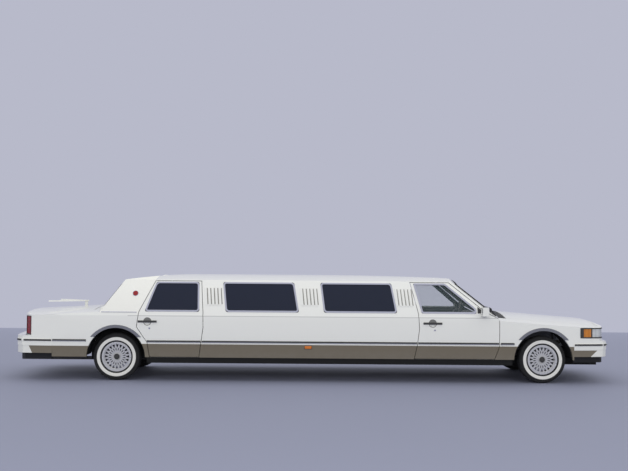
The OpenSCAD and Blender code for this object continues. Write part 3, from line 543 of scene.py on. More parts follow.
class Bench:
    """Operator steps that the pieces share."""

    @staticmethod
    def clear() -> None:
        """Goes to object mode with nothing selected."""
        if bpy.context.object and bpy.context.object.mode != "OBJECT":
            bpy.ops.object.mode_set(mode="OBJECT")
        bpy.ops.object.select_all(action="DESELECT")

    @staticmethod
    def focus(piece: bpy.types.Object) -> None:
        """Selects one piece alone and makes it active."""
        Bench.clear()
        piece.select_set(True)
        bpy.context.view_layer.objects.active = piece

    @staticmethod
    def named(name: str) -> bpy.types.Object:
        """Names the new active piece and moves its place into its mesh."""
        piece = bpy.context.object
        piece.name = piece.data.name = name
        bpy.ops.object.transform_apply(location=True, rotation=True, scale=True)
        return piece

    @staticmethod
    @contextmanager
    def edit(piece: bpy.types.Object, kind: Pick = Pick.FACES) -> Iterator[None]:
        """Edit mode on one piece with everything selected."""
        Bench.focus(piece)
        bpy.ops.object.mode_set(mode="EDIT")
        bpy.ops.mesh.select_mode(type=kind.value)
        bpy.ops.mesh.select_all(action="SELECT")
        yield
        bpy.ops.object.mode_set(mode="OBJECT")

    @staticmethod
    def pick(piece: bpy.types.Object, kind: Pick, test: Callable[[Any], bool]) -> int:
        """Selects the vertices, edges or faces that pass a test, in edit mode.

        Args:
            piece: the piece in edit mode.
            kind: what is tested.
            test: the test on a mesh vertex, edge or polygon.

        Returns:
            How many were selected.
        """
        bpy.ops.mesh.select_mode(type=kind.value)
        bpy.ops.mesh.select_all(action="DESELECT")
        bpy.ops.object.mode_set(mode="OBJECT")
        parts = {Pick.VERTICES: piece.data.vertices, Pick.EDGES: piece.data.edges,
                 Pick.FACES: piece.data.polygons}[kind]
        hits = 0
        for part in parts:
            part.select = test(part)
            hits += part.select
        bpy.ops.object.mode_set(mode="EDIT")
        return hits

    @staticmethod
    def modify(piece: bpy.types.Object, kind: str, **settings: Any) -> None:
        """Adds a modifier and applies it."""
        Bench.focus(piece)
        modifier = piece.modifiers.new(kind.lower(), kind)
        for key, value in settings.items():
            setattr(modifier, key, value)
        bpy.ops.object.modifier_apply(modifier=modifier.name)

    @staticmethod
    def round_off(piece: bpy.types.Object, width: float, segments: int = 2) -> None:
        """Rounds a piece's edges and shades it smoothly."""
        Bench.modify(piece, "BEVEL", width=width, segments=segments, limit_method="ANGLE",
                     angle_limit=math.radians(35))
        Bench.smooth(piece)

    @staticmethod
    def smooth(piece: bpy.types.Object, angle: float = 40.0) -> None:
        """Shades a piece smoothly, apart from its sharp edges."""
        Bench.focus(piece)
        bpy.ops.object.shade_smooth_by_angle(angle=math.radians(angle))

    @staticmethod
    def block(name: str, low: Point, high: Point, edge: float = 0.004,
              segments: int = 2) -> bpy.types.Object:
        """A block with rounded edges between two corners."""
        Bench.clear()
        middle = [(a + b) / 2 for a, b in zip(low, high)]
        size = [b - a for a, b in zip(low, high)]
        bpy.ops.mesh.primitive_cube_add(size=1.0, location=middle, scale=size)
        piece = Bench.named(name)
        if edge:
            Bench.round_off(piece, edge, segments)
        return piece

    @staticmethod
    def outline(name: str, points: Sequence[Point]) -> bpy.types.Object:
        """A flat face whose corners are moved to their places one by one."""
        Bench.clear()
        bpy.ops.mesh.primitive_circle_add(vertices=len(points), radius=1.0, fill_type="NGON")
        piece = Bench.named(name)
        with Bench.edit(piece, Pick.VERTICES):
            for index, point in enumerate(points):
                Bench.pick(piece, Pick.VERTICES, lambda vertex: vertex.index == index)
                move = Vector(point) - piece.data.vertices[index].co
                bpy.ops.transform.translate(value=move)
        return piece

    @staticmethod
    def tube(name: str, points: Sequence[Point], radius: float, closed: bool = False,
             sides: int = 3) -> bpy.types.Object:
        """A round bead along a smooth path, as a mesh."""
        Bench.clear()
        bpy.ops.curve.primitive_nurbs_path_add()
        piece = bpy.context.object
        curve = piece.data
        curve.splines.remove(curve.splines[0])
        spline = curve.splines.new("POLY")
        spline.points.add(len(points) - 1)
        for knot, point in zip(spline.points, points):
            knot.co = (*point, 1.0)
        spline.use_cyclic_u = closed
        curve.bevel_depth = radius
        curve.bevel_resolution = sides
        curve.use_fill_caps = True
        bpy.ops.object.convert(target="MESH")
        piece = Bench.named(name)
        Bench.smooth(piece)
        return piece

    @staticmethod
    def turned(name: str, points: Sequence[Point], centre: Point, axis: Point, steps: int,
               closed: bool = False) -> bpy.types.Object:
        """A line of points turned about an axis.

        Args:
            name: the piece's name.
            points: the line's points, in place.
            centre: a point of the axis.
            axis: the axis' direction.
            steps: how many steps the turn has.
            closed: whether the last point joins the first.

        Returns:
            The turned piece.
        """
        piece = Bench.outline(name, points)
        with Bench.edit(piece, Pick.EDGES):
            bpy.ops.mesh.delete(type="ONLY_FACE")
            if not closed:
                ends = {0, len(points) - 1}
                Bench.pick(piece, Pick.EDGES, lambda edge: set(edge.vertices) == ends)
                bpy.ops.mesh.delete(type="EDGE")
            bpy.ops.mesh.select_all(action="SELECT")
            bpy.ops.mesh.spin(steps=steps, angle=2 * math.pi, center=centre, axis=axis)
            bpy.ops.mesh.select_all(action="SELECT")
            bpy.ops.mesh.remove_doubles(threshold=0.0002)
            bpy.ops.mesh.normals_make_consistent(inside=False)
        return piece

    @staticmethod
    def spun(name: str, profile: Sequence[Spot], hub: Point, steps: int, closed: bool) -> bpy.types.Object:
        """A profile of radius and Y turned about an axle along Y."""
        points = [(hub[0] + r, hub[1] + y, hub[2]) for r, y in profile]
        return Bench.turned(name, points, hub, (0, 1, 0), steps, closed)

    @staticmethod
    def spun_up(name: str, section: Sequence[Spot], place: Spot, steps: int) -> bpy.types.Object:
        """A section of radius and height turned about an upright axis."""
        points = [(place[0] + r, place[1], z) for r, z in section]
        piece = Bench.turned(name, points, (*place, 0.0), (0, 0, 1), steps)
        Bench.smooth(piece, 30.0)
        return piece

    @staticmethod
    def frame(name: str, corners: Sequence[Point], width: float, radius: float,
              cuts: int) -> bpy.types.Object:
        """A flat frame with rounded corners, divided so that it can follow a curve."""
        piece = Bench.outline(name, corners)
        with Bench.edit(piece, Pick.VERTICES):
            bpy.ops.mesh.bevel(affect="VERTICES", offset=radius, segments=4)
            bpy.ops.mesh.select_mode(type="FACE")
            bpy.ops.mesh.select_all(action="SELECT")
            bpy.ops.mesh.inset(thickness=width)
            bpy.ops.mesh.delete(type="FACE")
            bpy.ops.mesh.select_all(action="SELECT")
            bpy.ops.mesh.subdivide(number_cuts=cuts)
        return piece

    @staticmethod
    def thicken(piece: bpy.types.Object, way: Point, thick: float, edge: float) -> bpy.types.Object:
        """Turns a sheet's faces to a direction, thickens it that way and rounds its edges."""
        with Bench.edit(piece):
            bpy.ops.mesh.normals_make_consistent(inside=False)
        if sum(face.normal.dot(way) for face in piece.data.polygons) < 0:
            with Bench.edit(piece):
                bpy.ops.mesh.flip_normals()
        Bench.modify(piece, "SOLIDIFY", thickness=thick, offset=1.0)
        Bench.round_off(piece, edge)
        return piece

    @staticmethod
    def moved(piece: bpy.types.Object, name: str, by: Point) -> bpy.types.Object:
        """A copy a step away, with its own mesh."""
        twin = piece.copy()
        twin.data = piece.data.copy()
        twin.name = twin.data.name = name
        bpy.context.scene.collection.objects.link(twin)
        twin.data.transform(Matrix.Translation(by))
        return twin

    @staticmethod
    def mirrored(piece: bpy.types.Object, name: str) -> bpy.types.Object:
        """A copy on the other side of the car, with its own mesh."""
        twin = Bench.moved(piece, name, (0.0, 0.0, 0.0))
        twin.data.transform(Matrix.Scale(-1.0, 4, (0, 1, 0)))
        twin.data.flip_normals()
        return twin

    @staticmethod
    def fit(piece: bpy.types.Object, finish: Finish, body: str, *nodes: str) -> bpy.types.Object:
        """Dresses a finished piece, lets it ride on a body and logs it.

        Args:
            piece: the piece, in place.
            finish: its finish.
            body: the body that it moves with.
            nodes: the CAD nodes that it stands for.

        Returns:
            The piece.
        """
        finish.dress(piece)
        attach(piece, body)
        if nodes:
            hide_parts(*nodes)
        LOG.info("%s on %s, %d faces", piece.name, body, len(piece.data.polygons))
        return piece

    @staticmethod
    def fit_pair(piece: bpy.types.Object, finish: Finish, body: str) -> None:
        """Fits a left-hand piece and its mirror copy; {} in the body's name takes the side."""
        stem = piece.name.removesuffix("_left")
        twin = Bench.mirrored(piece, stem + "_right")
        Bench.fit(piece, finish, body.format("left"))
        Bench.fit(twin, finish, body.format("right"))


# Shape of the body, as far as the trim follows it

@dataclass(frozen=True)
class BodyShape:
    """Barrel sides, leaning glass and drawn-in ends of the car."""

    half_w: float = 0.976
    side_r: float = 4.1
    side_z: float = 0.760
    shoulder_z: float = 0.920
    glass_r: float = 2.6
    rail_y: float = 0.790
    rail_z: float = 1.413
    plan_r: float = 6.0
    front_x: float = 3.160
    rear_x: float = -3.362
    front_axle: float = 3.265
    rear_axle: float = -2.765
    tyre_r: float = 0.332
    wheel_y: float = 0.800

    def barrel(self, z: float) -> float:
        """Half width of the barrel sides at a height."""
        return self.half_w - self.side_r + math.sqrt(self.side_r ** 2 - (z - self.side_z) ** 2)

    def glass(self, z: float) -> float:
        """Half width of the leaning glass at a height."""
        low = Vector((self.barrel(self.shoulder_z), self.shoulder_z))
        high = Vector((self.rail_y, self.rail_z))
        chord = high - low
        rise = math.sqrt(self.glass_r ** 2 - chord.length_squared / 4)
        middle = (low + high) / 2 + rise * Vector((-chord.y, chord.x)) / chord.length
        return middle.x + math.sqrt(self.glass_r ** 2 - (z - middle.y) ** 2)

    def plan(self, x: float) -> float:
        """Half width that the drawn-in ends leave at a place along the car."""
        past = max(x - self.front_x, self.rear_x - x, 0.0)
        return self.half_w - self.plan_r + math.sqrt(self.plan_r ** 2 - past ** 2)

    def side(self, x: float, z: float) -> float:
        """Y of the left side's outer face."""
        upper = self.glass(z) if z > self.shoulder_z else self.half_w
        return min(self.barrel(z), upper, self.plan(x))

    def wrap(self, piece: bpy.types.Object, sink: float, thick: float, edge: float) -> bpy.types.Object:
        """Lays a sheet drawn in X and Z on the left side, sunk a little, and thickens it outwards."""
        for vertex in piece.data.vertices:
            vertex.co.y = self.side(vertex.co.x, vertex.co.z) - sink
        return Bench.thicken(piece, (0.0, 1.0, 0.0), thick + sink, edge)

    def strip(self, name: str, x0: float, x1: float, z0: float, z1: float, thick: float,
              sink: float = 0.002, cuts: int = 16) -> bpy.types.Object:
        """A moulding of a thickness along the left side."""
        Bench.clear()
        middle = ((x0 + x1) / 2, 0.0, (z0 + z1) / 2)
        bpy.ops.mesh.primitive_plane_add(size=1.0, location=middle, rotation=(math.pi / 2, 0, 0))
        bpy.context.object.scale = (x1 - x0, z1 - z0, 1.0)
        piece = Bench.named(name)
        with Bench.edit(piece, Pick.EDGES):
            verts = piece.data.vertices
            Bench.pick(piece, Pick.EDGES,
                       lambda edge: abs(verts[edge.vertices[0]].co.z - verts[edge.vertices[1]].co.z) < 1e-4)
            bpy.ops.mesh.subdivide(number_cuts=cuts)
            Bench.pick(piece, Pick.EDGES,
                       lambda edge: abs(verts[edge.vertices[0]].co.x - verts[edge.vertices[1]].co.x) < 1e-4)
            bpy.ops.mesh.subdivide(number_cuts=2)
        return self.wrap(piece, sink, thick, min(0.3 * thick, 0.003))

    def patch(self, name: str, corners: Sequence[Spot], radius: float, thick: float) -> bpy.types.Object:
        """A plate on the left side, with rounded corners, or divided to follow it where it has none."""
        piece = Bench.outline(name, [(x, 0.0, z) for x, z in corners])
        with Bench.edit(piece, Pick.VERTICES):
            if radius:
                bpy.ops.mesh.bevel(affect="VERTICES", offset=radius, segments=3)
            else:
                bpy.ops.mesh.subdivide(number_cuts=7)
        return self.wrap(piece, 0.003, thick, 0.001)

    def ring(self, name: str, corners: Sequence[Spot], width: float, radius: float,
             thick: float) -> bpy.types.Object:
        """A frame round an opening in the left side."""
        piece = Bench.frame(name, [(x, 0.0, z) for x, z in corners], width, radius, 4)
        return self.wrap(piece, 0.004, thick, 0.0025)

    def disc(self, name: str, x: float, z: float, radius: float, thick: float) -> bpy.types.Object:
        """A round plate on the left side, square to its surface."""
        rise = (self.side(x, z + 0.02) - self.side(x, z - 0.02)) / 0.04
        Bench.clear()
        bpy.ops.mesh.primitive_cylinder_add(vertices=40, radius=radius, depth=2 * thick,
                                            location=(x, self.side(x, z), z),
                                            rotation=(-math.pi / 2 - math.atan(rise), 0.0, 0.0))
        piece = Bench.named(name)
        Bench.round_off(piece, 0.4 * thick, 3)
        return piece


BODY = BodyShape()


# Finishes of the car

WHITE = BodyPaint("white_paint")
FRONT_BUMPER = BodyPaint("front_bumper_paint", band_z=0.470, dark_z=0.381, band_x1=4.037, lined=False)
REAR_BUMPER = BodyPaint("rear_bumper_paint", band_z=0.488, dark_z=0.384, band_x0=-3.997, lined=False)
CHROME = Metal("chrome", (0.80, 0.79, 0.75))
ARCH_CHROME = Metal("arch_chrome", (0.47, 0.465, 0.44), 0.12)
GRILLE = GrilleMetal("grille_chrome", (0.80, 0.79, 0.75))
DARK_STEEL = Metal("dark_steel", (0.05, 0.05, 0.05), 0.60, 70.0, 0.0003, 0.2)
CAST = Metal("cast_metal", (0.30, 0.30, 0.31), 0.45, 90.0, 0.0004, 0.2)
STEEL = Metal("dull_steel", (0.22, 0.21, 0.20), 0.50, 70.0, 0.0003, 0.25)
BLACK = Plastic("black_plastic")
RUBBER = Plastic("black_rubber", (0.010, 0.010, 0.011), 0.62, 400.0, 0.0003, 0.1)
UNDERSEAL = Plastic("underseal", (0.012, 0.012, 0.012), 0.85, 220.0, 0.002, 0.35)
DASH = Plastic("dash_skin", (0.10, 0.092, 0.082), 0.55, 520.0, 0.0005, 0.1)
GREY_TRIM = Plastic("grey_trim", (0.26, 0.245, 0.22), 0.55, 600.0, 0.0004, 0.1)
CUP_GREY = Plastic("cup_grey", (0.16, 0.16, 0.155), 0.35, 600.0, 0.0002, 0.1)
DARK_FACE = Plastic("dial_face", (0.006, 0.006, 0.007), 0.35, 900.0, 0.0001, 0.0)
PADDED_TOP = Vinyl("padded_top")
HIDE = Leather("hide")
CARPET = Carpet("carpet")
DARK_GLASS = Glass("dark_glass")
DOOR_GLASS = Glass("door_glass", (0.20, 0.27, 0.30), 0.10)
SCREEN_GLASS = Glass("screen_glass", (0.05, 0.075, 0.09), 0.22, 1.36)
MIRROR_GLASS = Metal("mirror_glass", (0.80, 0.82, 0.84), 0.02, 5.0, 0.00001, 0.01)
HEAD_LENS = Lens("head_lens", (0.86, 0.30, 0.03), (0.82, 0.84, 0.86), 3.956, 900.0, 0.72)
TAIL_LENS = Lens("tail_lens", (0.25, 0.001, 0.008), (0.25, 0.001, 0.008), 100.0, 500.0, 1.0, 0.0, 0.08)
AMBER_LENS = Lens("amber_lens", (0.75, 0.20, 0.015), (0.75, 0.20, 0.015), 100.0, 900.0, 0.95)
RED_ENAMEL = Plastic("red_enamel", (0.30, 0.02, 0.02), 0.2, 900.0, 0.00005, 0.0)
RIM_ALLOY = Alloy("rim_alloy", 0.848)


class Corner(Enum):
    """The car's four wheels."""

    FRONT_LEFT = ("front", "left")
    FRONT_RIGHT = ("front", "right")
    REAR_LEFT = ("rear", "left")
    REAR_RIGHT = ("rear", "right")

    @property
    def label(self) -> str:
        """End and side, as in the names of the nodes."""
        return "_".join(self.value)

    @property
    def hub(self) -> Vector:
        """The wheel's middle."""
        x = BODY.front_axle if self.value[0] == "front" else BODY.rear_axle
        return Vector((x, BODY.wheel_y * self.sign, BODY.tyre_r))

    @property
    def sign(self) -> float:
        """1 on the left side, -1 on the right."""
        return 1.0 if self.value[1] == "left" else -1.0

    @property
    def rubber(self) -> TyreRubber:
        """The finish of this wheel's tyre."""
        return TyreRubber("tyre_" + self.value[0], self.hub.x, self.hub.z, BODY.wheel_y)


@dataclass
class Paintwork:
    """Finishes of the CAD nodes that stay in view."""

    white: tuple[str, ...] = ("roof_panel", "side_panels", "quarter_panels", "front_fenders", "nose_panel",
                              "hood", "trunk_lid", "antenna", "front_door_left", "front_door_right",
                              "rear_door_left", "rear_door_right")
    dark_glass: tuple[str, ...] = ("side_glass", "rear_window", "rear_door_glass_left",
                                   "rear_door_glass_right")
    door_glass: tuple[str, ...] = ("front_door_glass_left", "front_door_glass_right")
    under: tuple[str, ...] = ("frame_rails", "wheel_liners", "suspension_arms")

    def table(self) -> dict[str, Finish]:
        """The finish of each node."""
        finishes: dict[str, Finish] = {
            "landau_top": PADDED_TOP, "front_bumper": FRONT_BUMPER, "rear_bumper": REAR_BUMPER,
            "grille": GRILLE, "arch_lips": ARCH_CHROME, "head_lamps": HEAD_LENS, "tail_lamps": TAIL_LENS,
            "windshield": SCREEN_GLASS, "cowl": BLACK, "floor_pan": CARPET, "dashboard": DASH,
            "steering_wheel": DASH, "front_seats": HIDE, "lounge_seats": HIDE, "partition": GREY_TRIM,
            "engine": CAST, "driveline": DARK_STEEL, "exhaust": STEEL, "knuckle_left": DARK_STEEL,
            "knuckle_right": DARK_STEEL}
        finishes |= dict.fromkeys(self.white, WHITE) | dict.fromkeys(self.under, UNDERSEAL)
        finishes |= dict.fromkeys(self.dark_glass, DARK_GLASS) | dict.fromkeys(self.door_glass, DOOR_GLASS)
        for corner in Corner:
            finishes["rim_" + corner.label] = RIM_ALLOY
            finishes["tyre_" + corner.label] = corner.rubber
        return finishes

    def dress(self) -> None:
        """Dresses every node."""
        for node, finish in self.table().items():
            finish.dress(bpy.data.objects[node])
            LOG.info("%s has %s", node, finish.name)


# Trim outside

@dataclass
class WindowTrim:
    """Bright frames round the side windows, each with a dark seal inside it.

    A rake is how far a window's rear sill, rear head, front head and front sill lie off its panel's edges.
    """

    sash_z: float = 0.985
    head_z: float = 1.385
    front_door: tuple[float, float] = (1.511, 2.647)
    front_rake: tuple[float, ...] = (0.047, -0.065, -0.745, -0.340)
    front_upright: float = 0.070
    rear_door: tuple[float, float] = (-2.479, -1.531)
    rear_rake: tuple[float, ...] = (0.122, 0.266, -0.091, -0.070)
    middle_x: float = -1.211
    middle_len: float = 1.0175
    middle_post: float = 0.369
    middle_rake: tuple[float, ...] = (0.0, -0.055, -0.075, 0.0)
    width: float = 0.024
    seal_width: float = 0.009
    lap: float = 0.010
    round_corners: tuple[float, float] = (0.050, 0.030)
    tight_corners: tuple[float, float] = (0.026, 0.016)

    def window(self, x0: float, x1: float, rake: Sequence[float]) -> list[Spot]:
        """Corners of a window in a panel between two edges."""
        return [(x0 + rake[0], self.sash_z), (x0 + rake[1], self.head_z), (x1 + rake[2], self.head_z),
                (x1 + rake[3], self.sash_z)]

    def openings(self) -> dict[str, tuple[str, list[Spot]]]:
        """Body and corners of each window of the left side, by name."""
        front = self.window(*self.front_door, self.front_rake)
        front.insert(3, (front[3][0], self.sash_z + self.front_upright))
        found = {"front_door_frame": ("front_door_{}", front),
                 "rear_door_frame": ("rear_door_{}", self.window(*self.rear_door, self.rear_rake))}
        for index in range(2):
            x = self.middle_x + index * (self.middle_len + self.middle_post)
            found[f"middle_frame_{index}"] = ("root", self.window(x, x + self.middle_len, self.middle_rake))
        return found

    @staticmethod
    def grown(corners: Sequence[Spot], by: float) -> list[Spot]:
        """Corners of a window moved out from its middle."""
        middle = sum((Vector(c) for c in corners), Vector((0.0, 0.0))) / len(corners)
        return [(x + math.copysign(by, x - middle.x), z + math.copysign(by, z - middle.y))
                for x, z in corners]

    def build(self) -> None:
        """Makes the frames and their seals."""
        for name, (body, corners) in self.openings().items():
            outer, inner = self.round_corners if len(corners) == 4 else self.tight_corners
            rim = BODY.ring(name + "_left", self.grown(corners, self.lap), self.width, outer, 0.005)
            Bench.fit_pair(rim, CHROME, body)
            seal = BODY.ring(name + "_seal_left", self.grown(corners, -self.lap), self.seal_width,
                             inner, 0.002)
            Bench.fit_pair(seal, RUBBER, body)


@dataclass
class SideMouldings:
    """Dark mouldings with a bright line along the sides, and their small lamps.

    A span is a body, where its moulding starts and ends, and the height of its middle.
    """

    height: float = 0.030
    thick: float = 0.009
    spans: tuple[tuple[str, float, float, float], ...] = (
        ("root", 2.660, 2.852, 0.558), ("front_door_{}", 1.498, 2.634, 0.558),
        ("root", -1.553, 1.480, 0.558),
        ("rear_door_{}", -2.326, -1.569, 0.558), ("root", -3.655, -3.182, 0.566))
    bead_end: float = 0.004
    bead_low: float = 0.001
    bead_high: float = 0.009
    bead_thick: float = 0.011
    lamp: tuple[float, float, float, float] = (-0.100, -0.005, 0.470, 0.510)
    lamp_rim: float = 0.006

    def build(self) -> None:
        """Makes the mouldings of both sides and the amber lamps."""
        for index, (body, x0, x1, middle) in enumerate(self.spans):
            z0, z1 = middle - self.height / 2, middle + self.height / 2
            Bench.fit_pair(BODY.strip(f"moulding_{index}_left", x0, x1, z0, z1, self.thick), BLACK, body)
            bead = BODY.strip(f"moulding_bead_{index}_left", x0 + self.bead_end, x1 - self.bead_end,
                              z0 + self.bead_low, z0 + self.bead_high, self.bead_thick)
            Bench.fit_pair(bead, CHROME, body)
        x0, x1, z0, z1 = self.lamp
        rim = self.lamp_rim
        base = BODY.strip("marker_base_left", x0 - rim, x1 + rim, z0 - rim, z1 + rim, 0.005)
        Bench.fit_pair(base, BLACK, "root")
        Bench.fit_pair(BODY.strip("marker_lens_left", x0, x1, z0, z1, 0.012), AMBER_LENS, "root")


@dataclass
class Louvres:
    """Dark slots between the slanted ribs of the side posts."""

    sets: tuple[float, ...] = (-1.409, -0.049, 1.293)
    ribs: int = 5
    pitch: float = 0.050
    rib_w: float = 0.028
    slot_w: float = 0.013
    lean: float = 0.024
    low_z: float = 1.085
    high_z: float = 1.310
    thick: float = 0.0015

    def build(self) -> None:
        """Makes the slots of both sides."""
        for number, middle in enumerate(self.sets):
            for rib in range(self.ribs):
                x = middle + (rib - (self.ribs - 1) / 2) * self.pitch + self.rib_w
                corners = [(x, self.low_z), (x + self.slot_w, self.low_z),
                           (x + self.slot_w - self.lean, self.high_z), (x - self.lean, self.high_z)]
                slot = BODY.patch(f"louvre_slot_{number}_{rib}_left", corners, 0.0, self.thick)
                Bench.fit_pair(slot, GREY_TRIM, "root")


@dataclass
class Wheels:
    """Tyres with tread blocks and a white band, plain centre caps, and valves.

    The shapes are radius and distance from the wheel's middle plane, or from the cap's face.
    """

    steps: int = 72
    wall: tuple[Spot, ...] = (
        (0.196, 0.081), (0.209, 0.081), (0.212, 0.088), (0.231, 0.1005), (0.2335, 0.1035), (0.255, 0.1062),
        (0.2745, 0.1048), (0.277, 0.1020), (0.296, 0.0985), (0.312, 0.0915), (0.3235, 0.0835))
    tread: tuple[Spot, ...] = (
        (0.3290, 0.0715), (0.3312, 0.0500), (0.3316, 0.0430), (0.3318, 0.0180), (0.3319, 0.0110))
    grooves: tuple[Spot, ...] = ((0.0110, 0.0180), (0.0430, 0.0500))
    groove_deep: float = 0.006
    groove_r: float = 0.325
    block_r: float = 0.322
    cap_y: float = 0.078
    cap_shape: tuple[Spot, ...] = (
        (0.0, 0.006), (0.012, 0.0055), (0.026, 0.003), (0.031, 0.0015), (0.033, 0.004), (0.038, 0.004),
        (0.041, -0.003), (0.041, -0.008))
    valve: tuple[Spot, ...] = ((0.178, 0.060), (0.170, 0.086))
    valve_r: float = 0.004

    def tyre(self, corner: Corner) -> bpy.types.Object:
        """Turns a tyre and presses grooves between its tread blocks."""
        hub = corner.hub
        half = [*self.wall, *self.tread]
        profile = half + [(r, -y) for r, y in reversed(half)]
        piece = Bench.spun("tyre_body_" + corner.label, profile, tuple(hub), self.steps, True)

        def radius(face: bpy.types.MeshPolygon) -> float:
            """Distance of a face from the axle."""
            return math.hypot(face.center.x - hub.x, face.center.z - hub.z)

        def is_groove(face: bpy.types.MeshPolygon) -> bool:
            """Whether a face lies in a groove round the tread."""
            side = abs(face.center.y - hub.y)
            return radius(face) > self.groove_r and any(a < side < b for a, b in self.grooves)

        def is_block(face: bpy.types.MeshPolygon) -> bool:
            """Whether a face is the top of a tread block."""
            return radius(face) > self.block_r and not is_groove(face)

        with Bench.edit(piece):
            Bench.pick(piece, Pick.FACES, is_groove)
            bpy.ops.mesh.inset(thickness=0.001, depth=-self.groove_deep)
            Bench.pick(piece, Pick.FACES, is_block)
            bpy.ops.mesh.inset(thickness=0.0018, depth=-0.003, use_individual=True)
            bpy.ops.mesh.inset(thickness=0.0006, depth=0.003, use_individual=True)
            bpy.ops.mesh.select_all(action="SELECT")
            bpy.ops.mesh.normals_make_consistent(inside=False)
        Bench.smooth(piece, 32.0)
        return piece

    def build(self) -> None:
        """Makes the parts of all four wheels."""
        for corner in Corner:
            label, hub, sign = corner.label, corner.hub, corner.sign
            body = "wheel_" + label
            Bench.fit(self.tyre(corner), corner.rubber, body, "tyre_" + label)
            shape = [(r, sign * (self.cap_y + y)) for r, y in self.cap_shape]
            cap = Bench.spun("hub_cap_" + label, shape, tuple(hub), 48, False)
            Bench.smooth(cap, 30.0)
            Bench.fit(cap, BLACK, body)
            stem = [(hub.x + r, hub.y + sign * y, hub.z) for r, y in self.valve]
            Bench.fit(Bench.tube("valve_" + label, stem, self.valve_r), RUBBER, body)


@dataclass
class ArchShields:
    """Splash plates that close the rear wheel arches towards the middle of the car."""

    y: float = 0.640
    inner_r: float = 0.140
    outer_r: float = 0.418
    end_turn: float = -8.0
    steps: int = 16
    thick: float = 0.003

    def arc(self, radius: float) -> list[Point]:
        """Points round the rear axle, from one end of a plate to the other."""
        sweep = 180.0 - 2 * self.end_turn
        turns = [math.radians(self.end_turn + sweep * i / self.steps) for i in range(self.steps + 1)]
        x, z = BODY.rear_axle, BODY.tyre_r
        return [(x + radius * math.cos(t), self.y, z + radius * math.sin(t)) for t in turns]

    def build(self) -> None:
        """Makes the plates of both sides."""
        plate = Bench.outline("arch_shield_left", self.arc(self.outer_r) + self.arc(self.inner_r)[::-1])
        Bench.modify(plate, "SOLIDIFY", thickness=self.thick, offset=0.0)
        Bench.round_off(plate, 0.0008)
        Bench.fit_pair(plate, UNDERSEAL, "root")


@dataclass(frozen=True)
class EndCurve:
    """Outline in plan of one end of the car, seen from a point inside it."""

    face_x: float
    back: float
    corner_r: float
    bow_r: float
    out: float = 0.0

    @property
    def sign(self) -> float:
        """1 at the front, -1 at the tail."""
        return math.copysign(1.0, self.face_x)

    @property
    def middle_x(self) -> float:
        """The point inside the end that angles are taken from."""
        return self.face_x - self.sign * self.back

    def holds(self, x: float, y: float, z: float) -> bool:
        """Whether a point of the left half lies inside the outline at a height."""
        bow = math.hypot(x - (self.face_x - self.sign * self.bow_r), y) <= self.bow_r
        corner = math.hypot(x - self.middle_x, y) <= self.corner_r
        side = y <= BODY.plan(x) + self.out and y <= BODY.barrel(z) + self.out
        return bow and corner and side

    def point(self, angle: float, z: float, out: float) -> Vector:
        """A point on the outline, a distance off it.

        Args:
            angle: from straight ahead, or straight back at the tail, towards the left side, in degrees.
            z: height.
            out: distance off the outline.

        Returns:
            The point, on the right-hand half for angles below zero.
        """
        turn = math.radians(abs(angle))
        step = Vector((self.sign * math.cos(turn), math.sin(turn), 0.0))
        low, high = 0.1, 3.0
        for _ in range(40):
            reach = (low + high) / 2
            spot = Vector((self.middle_x, 0.0, z)) + reach * step
            low, high = (reach, high) if self.holds(spot.x, spot.y, z) else (low, reach)
        spot = Vector((self.middle_x, 0.0, z)) + (low + out) * step
        spot.y = math.copysign(spot.y, angle)
        return spot

    def angle_at(self, y: float) -> float:
        """The angle at which the outline passes a distance from the middle plane."""
        low, high = 0.0, 89.0
        for _ in range(40):
            angle = (low + high) / 2
            low, high = (angle, high) if self.point(angle, 0.76, 0.0).y < y else (low, angle)
        return low

    def angle_at_x(self, x: float) -> float:
        """The angle at which the outline passes a place along the car."""
        low, high = 0.0, 120.0
        for _ in range(40):
            angle = (low + high) / 2
            ahead = (self.point(angle, 0.76, 0.0).x - x) * self.sign > 0
            low, high = (angle, high) if ahead else (low, angle)
        return low

    def band(self, name: str, start: float, end: float, z0: float, z1: float, thick: float,
             sink: float = 0.002) -> bpy.types.Object:
        """A moulding of a thickness round the end, between two angles and two heights."""
        Bench.clear()
        bpy.ops.mesh.primitive_grid_add(x_subdivisions=48, y_subdivisions=3, size=2.0)
        piece = Bench.named(name)
        for vertex in piece.data.vertices:
            angle = start + (end - start) * (vertex.co.x + 1) / 2
            z = z0 + (z1 - z0) * (vertex.co.y + 1) / 2
            vertex.co = self.point(angle, z, -sink)
        with Bench.edit(piece):
            bpy.ops.mesh.normals_make_consistent(inside=False)
        if sum(face.normal.x * self.sign for face in piece.data.polygons) < 0:
            with Bench.edit(piece):
                bpy.ops.mesh.flip_normals()
        Bench.modify(piece, "SOLIDIFY", thickness=thick + sink, offset=1.0)
        Bench.round_off(piece, min(0.3 * thick, 0.003))
        return piece

    def bead(self, name: str, start: float, end: float, z0: float, z1: float,
             radius: float) -> bpy.types.Object:
        """A bright bead round a lamp between two angles and two heights."""
        steps = [start + (end - start) * i / 24 for i in range(25)]
        path = [self.point(a, z0, 0.0) for a in steps] + [self.point(a, z1, 0.0) for a in reversed(steps)]
        return Bench.tube(name, [tuple(p) for p in path], radius, True)


NOSE = EndCurve(4.200, 1.400, math.hypot(0.976, 1.217), 4.632)
TAIL = EndCurve(-4.144, 1.400, math.hypot(0.976, 1.191), 4.813)
FRONT_BAR = EndCurve(4.304, 1.150, math.hypot(0.976, 0.904), 3.2095, 0.012)
REAR_BAR = EndCurve(-4.304, 1.150, math.hypot(0.976, 0.904), 3.2095, 0.012)


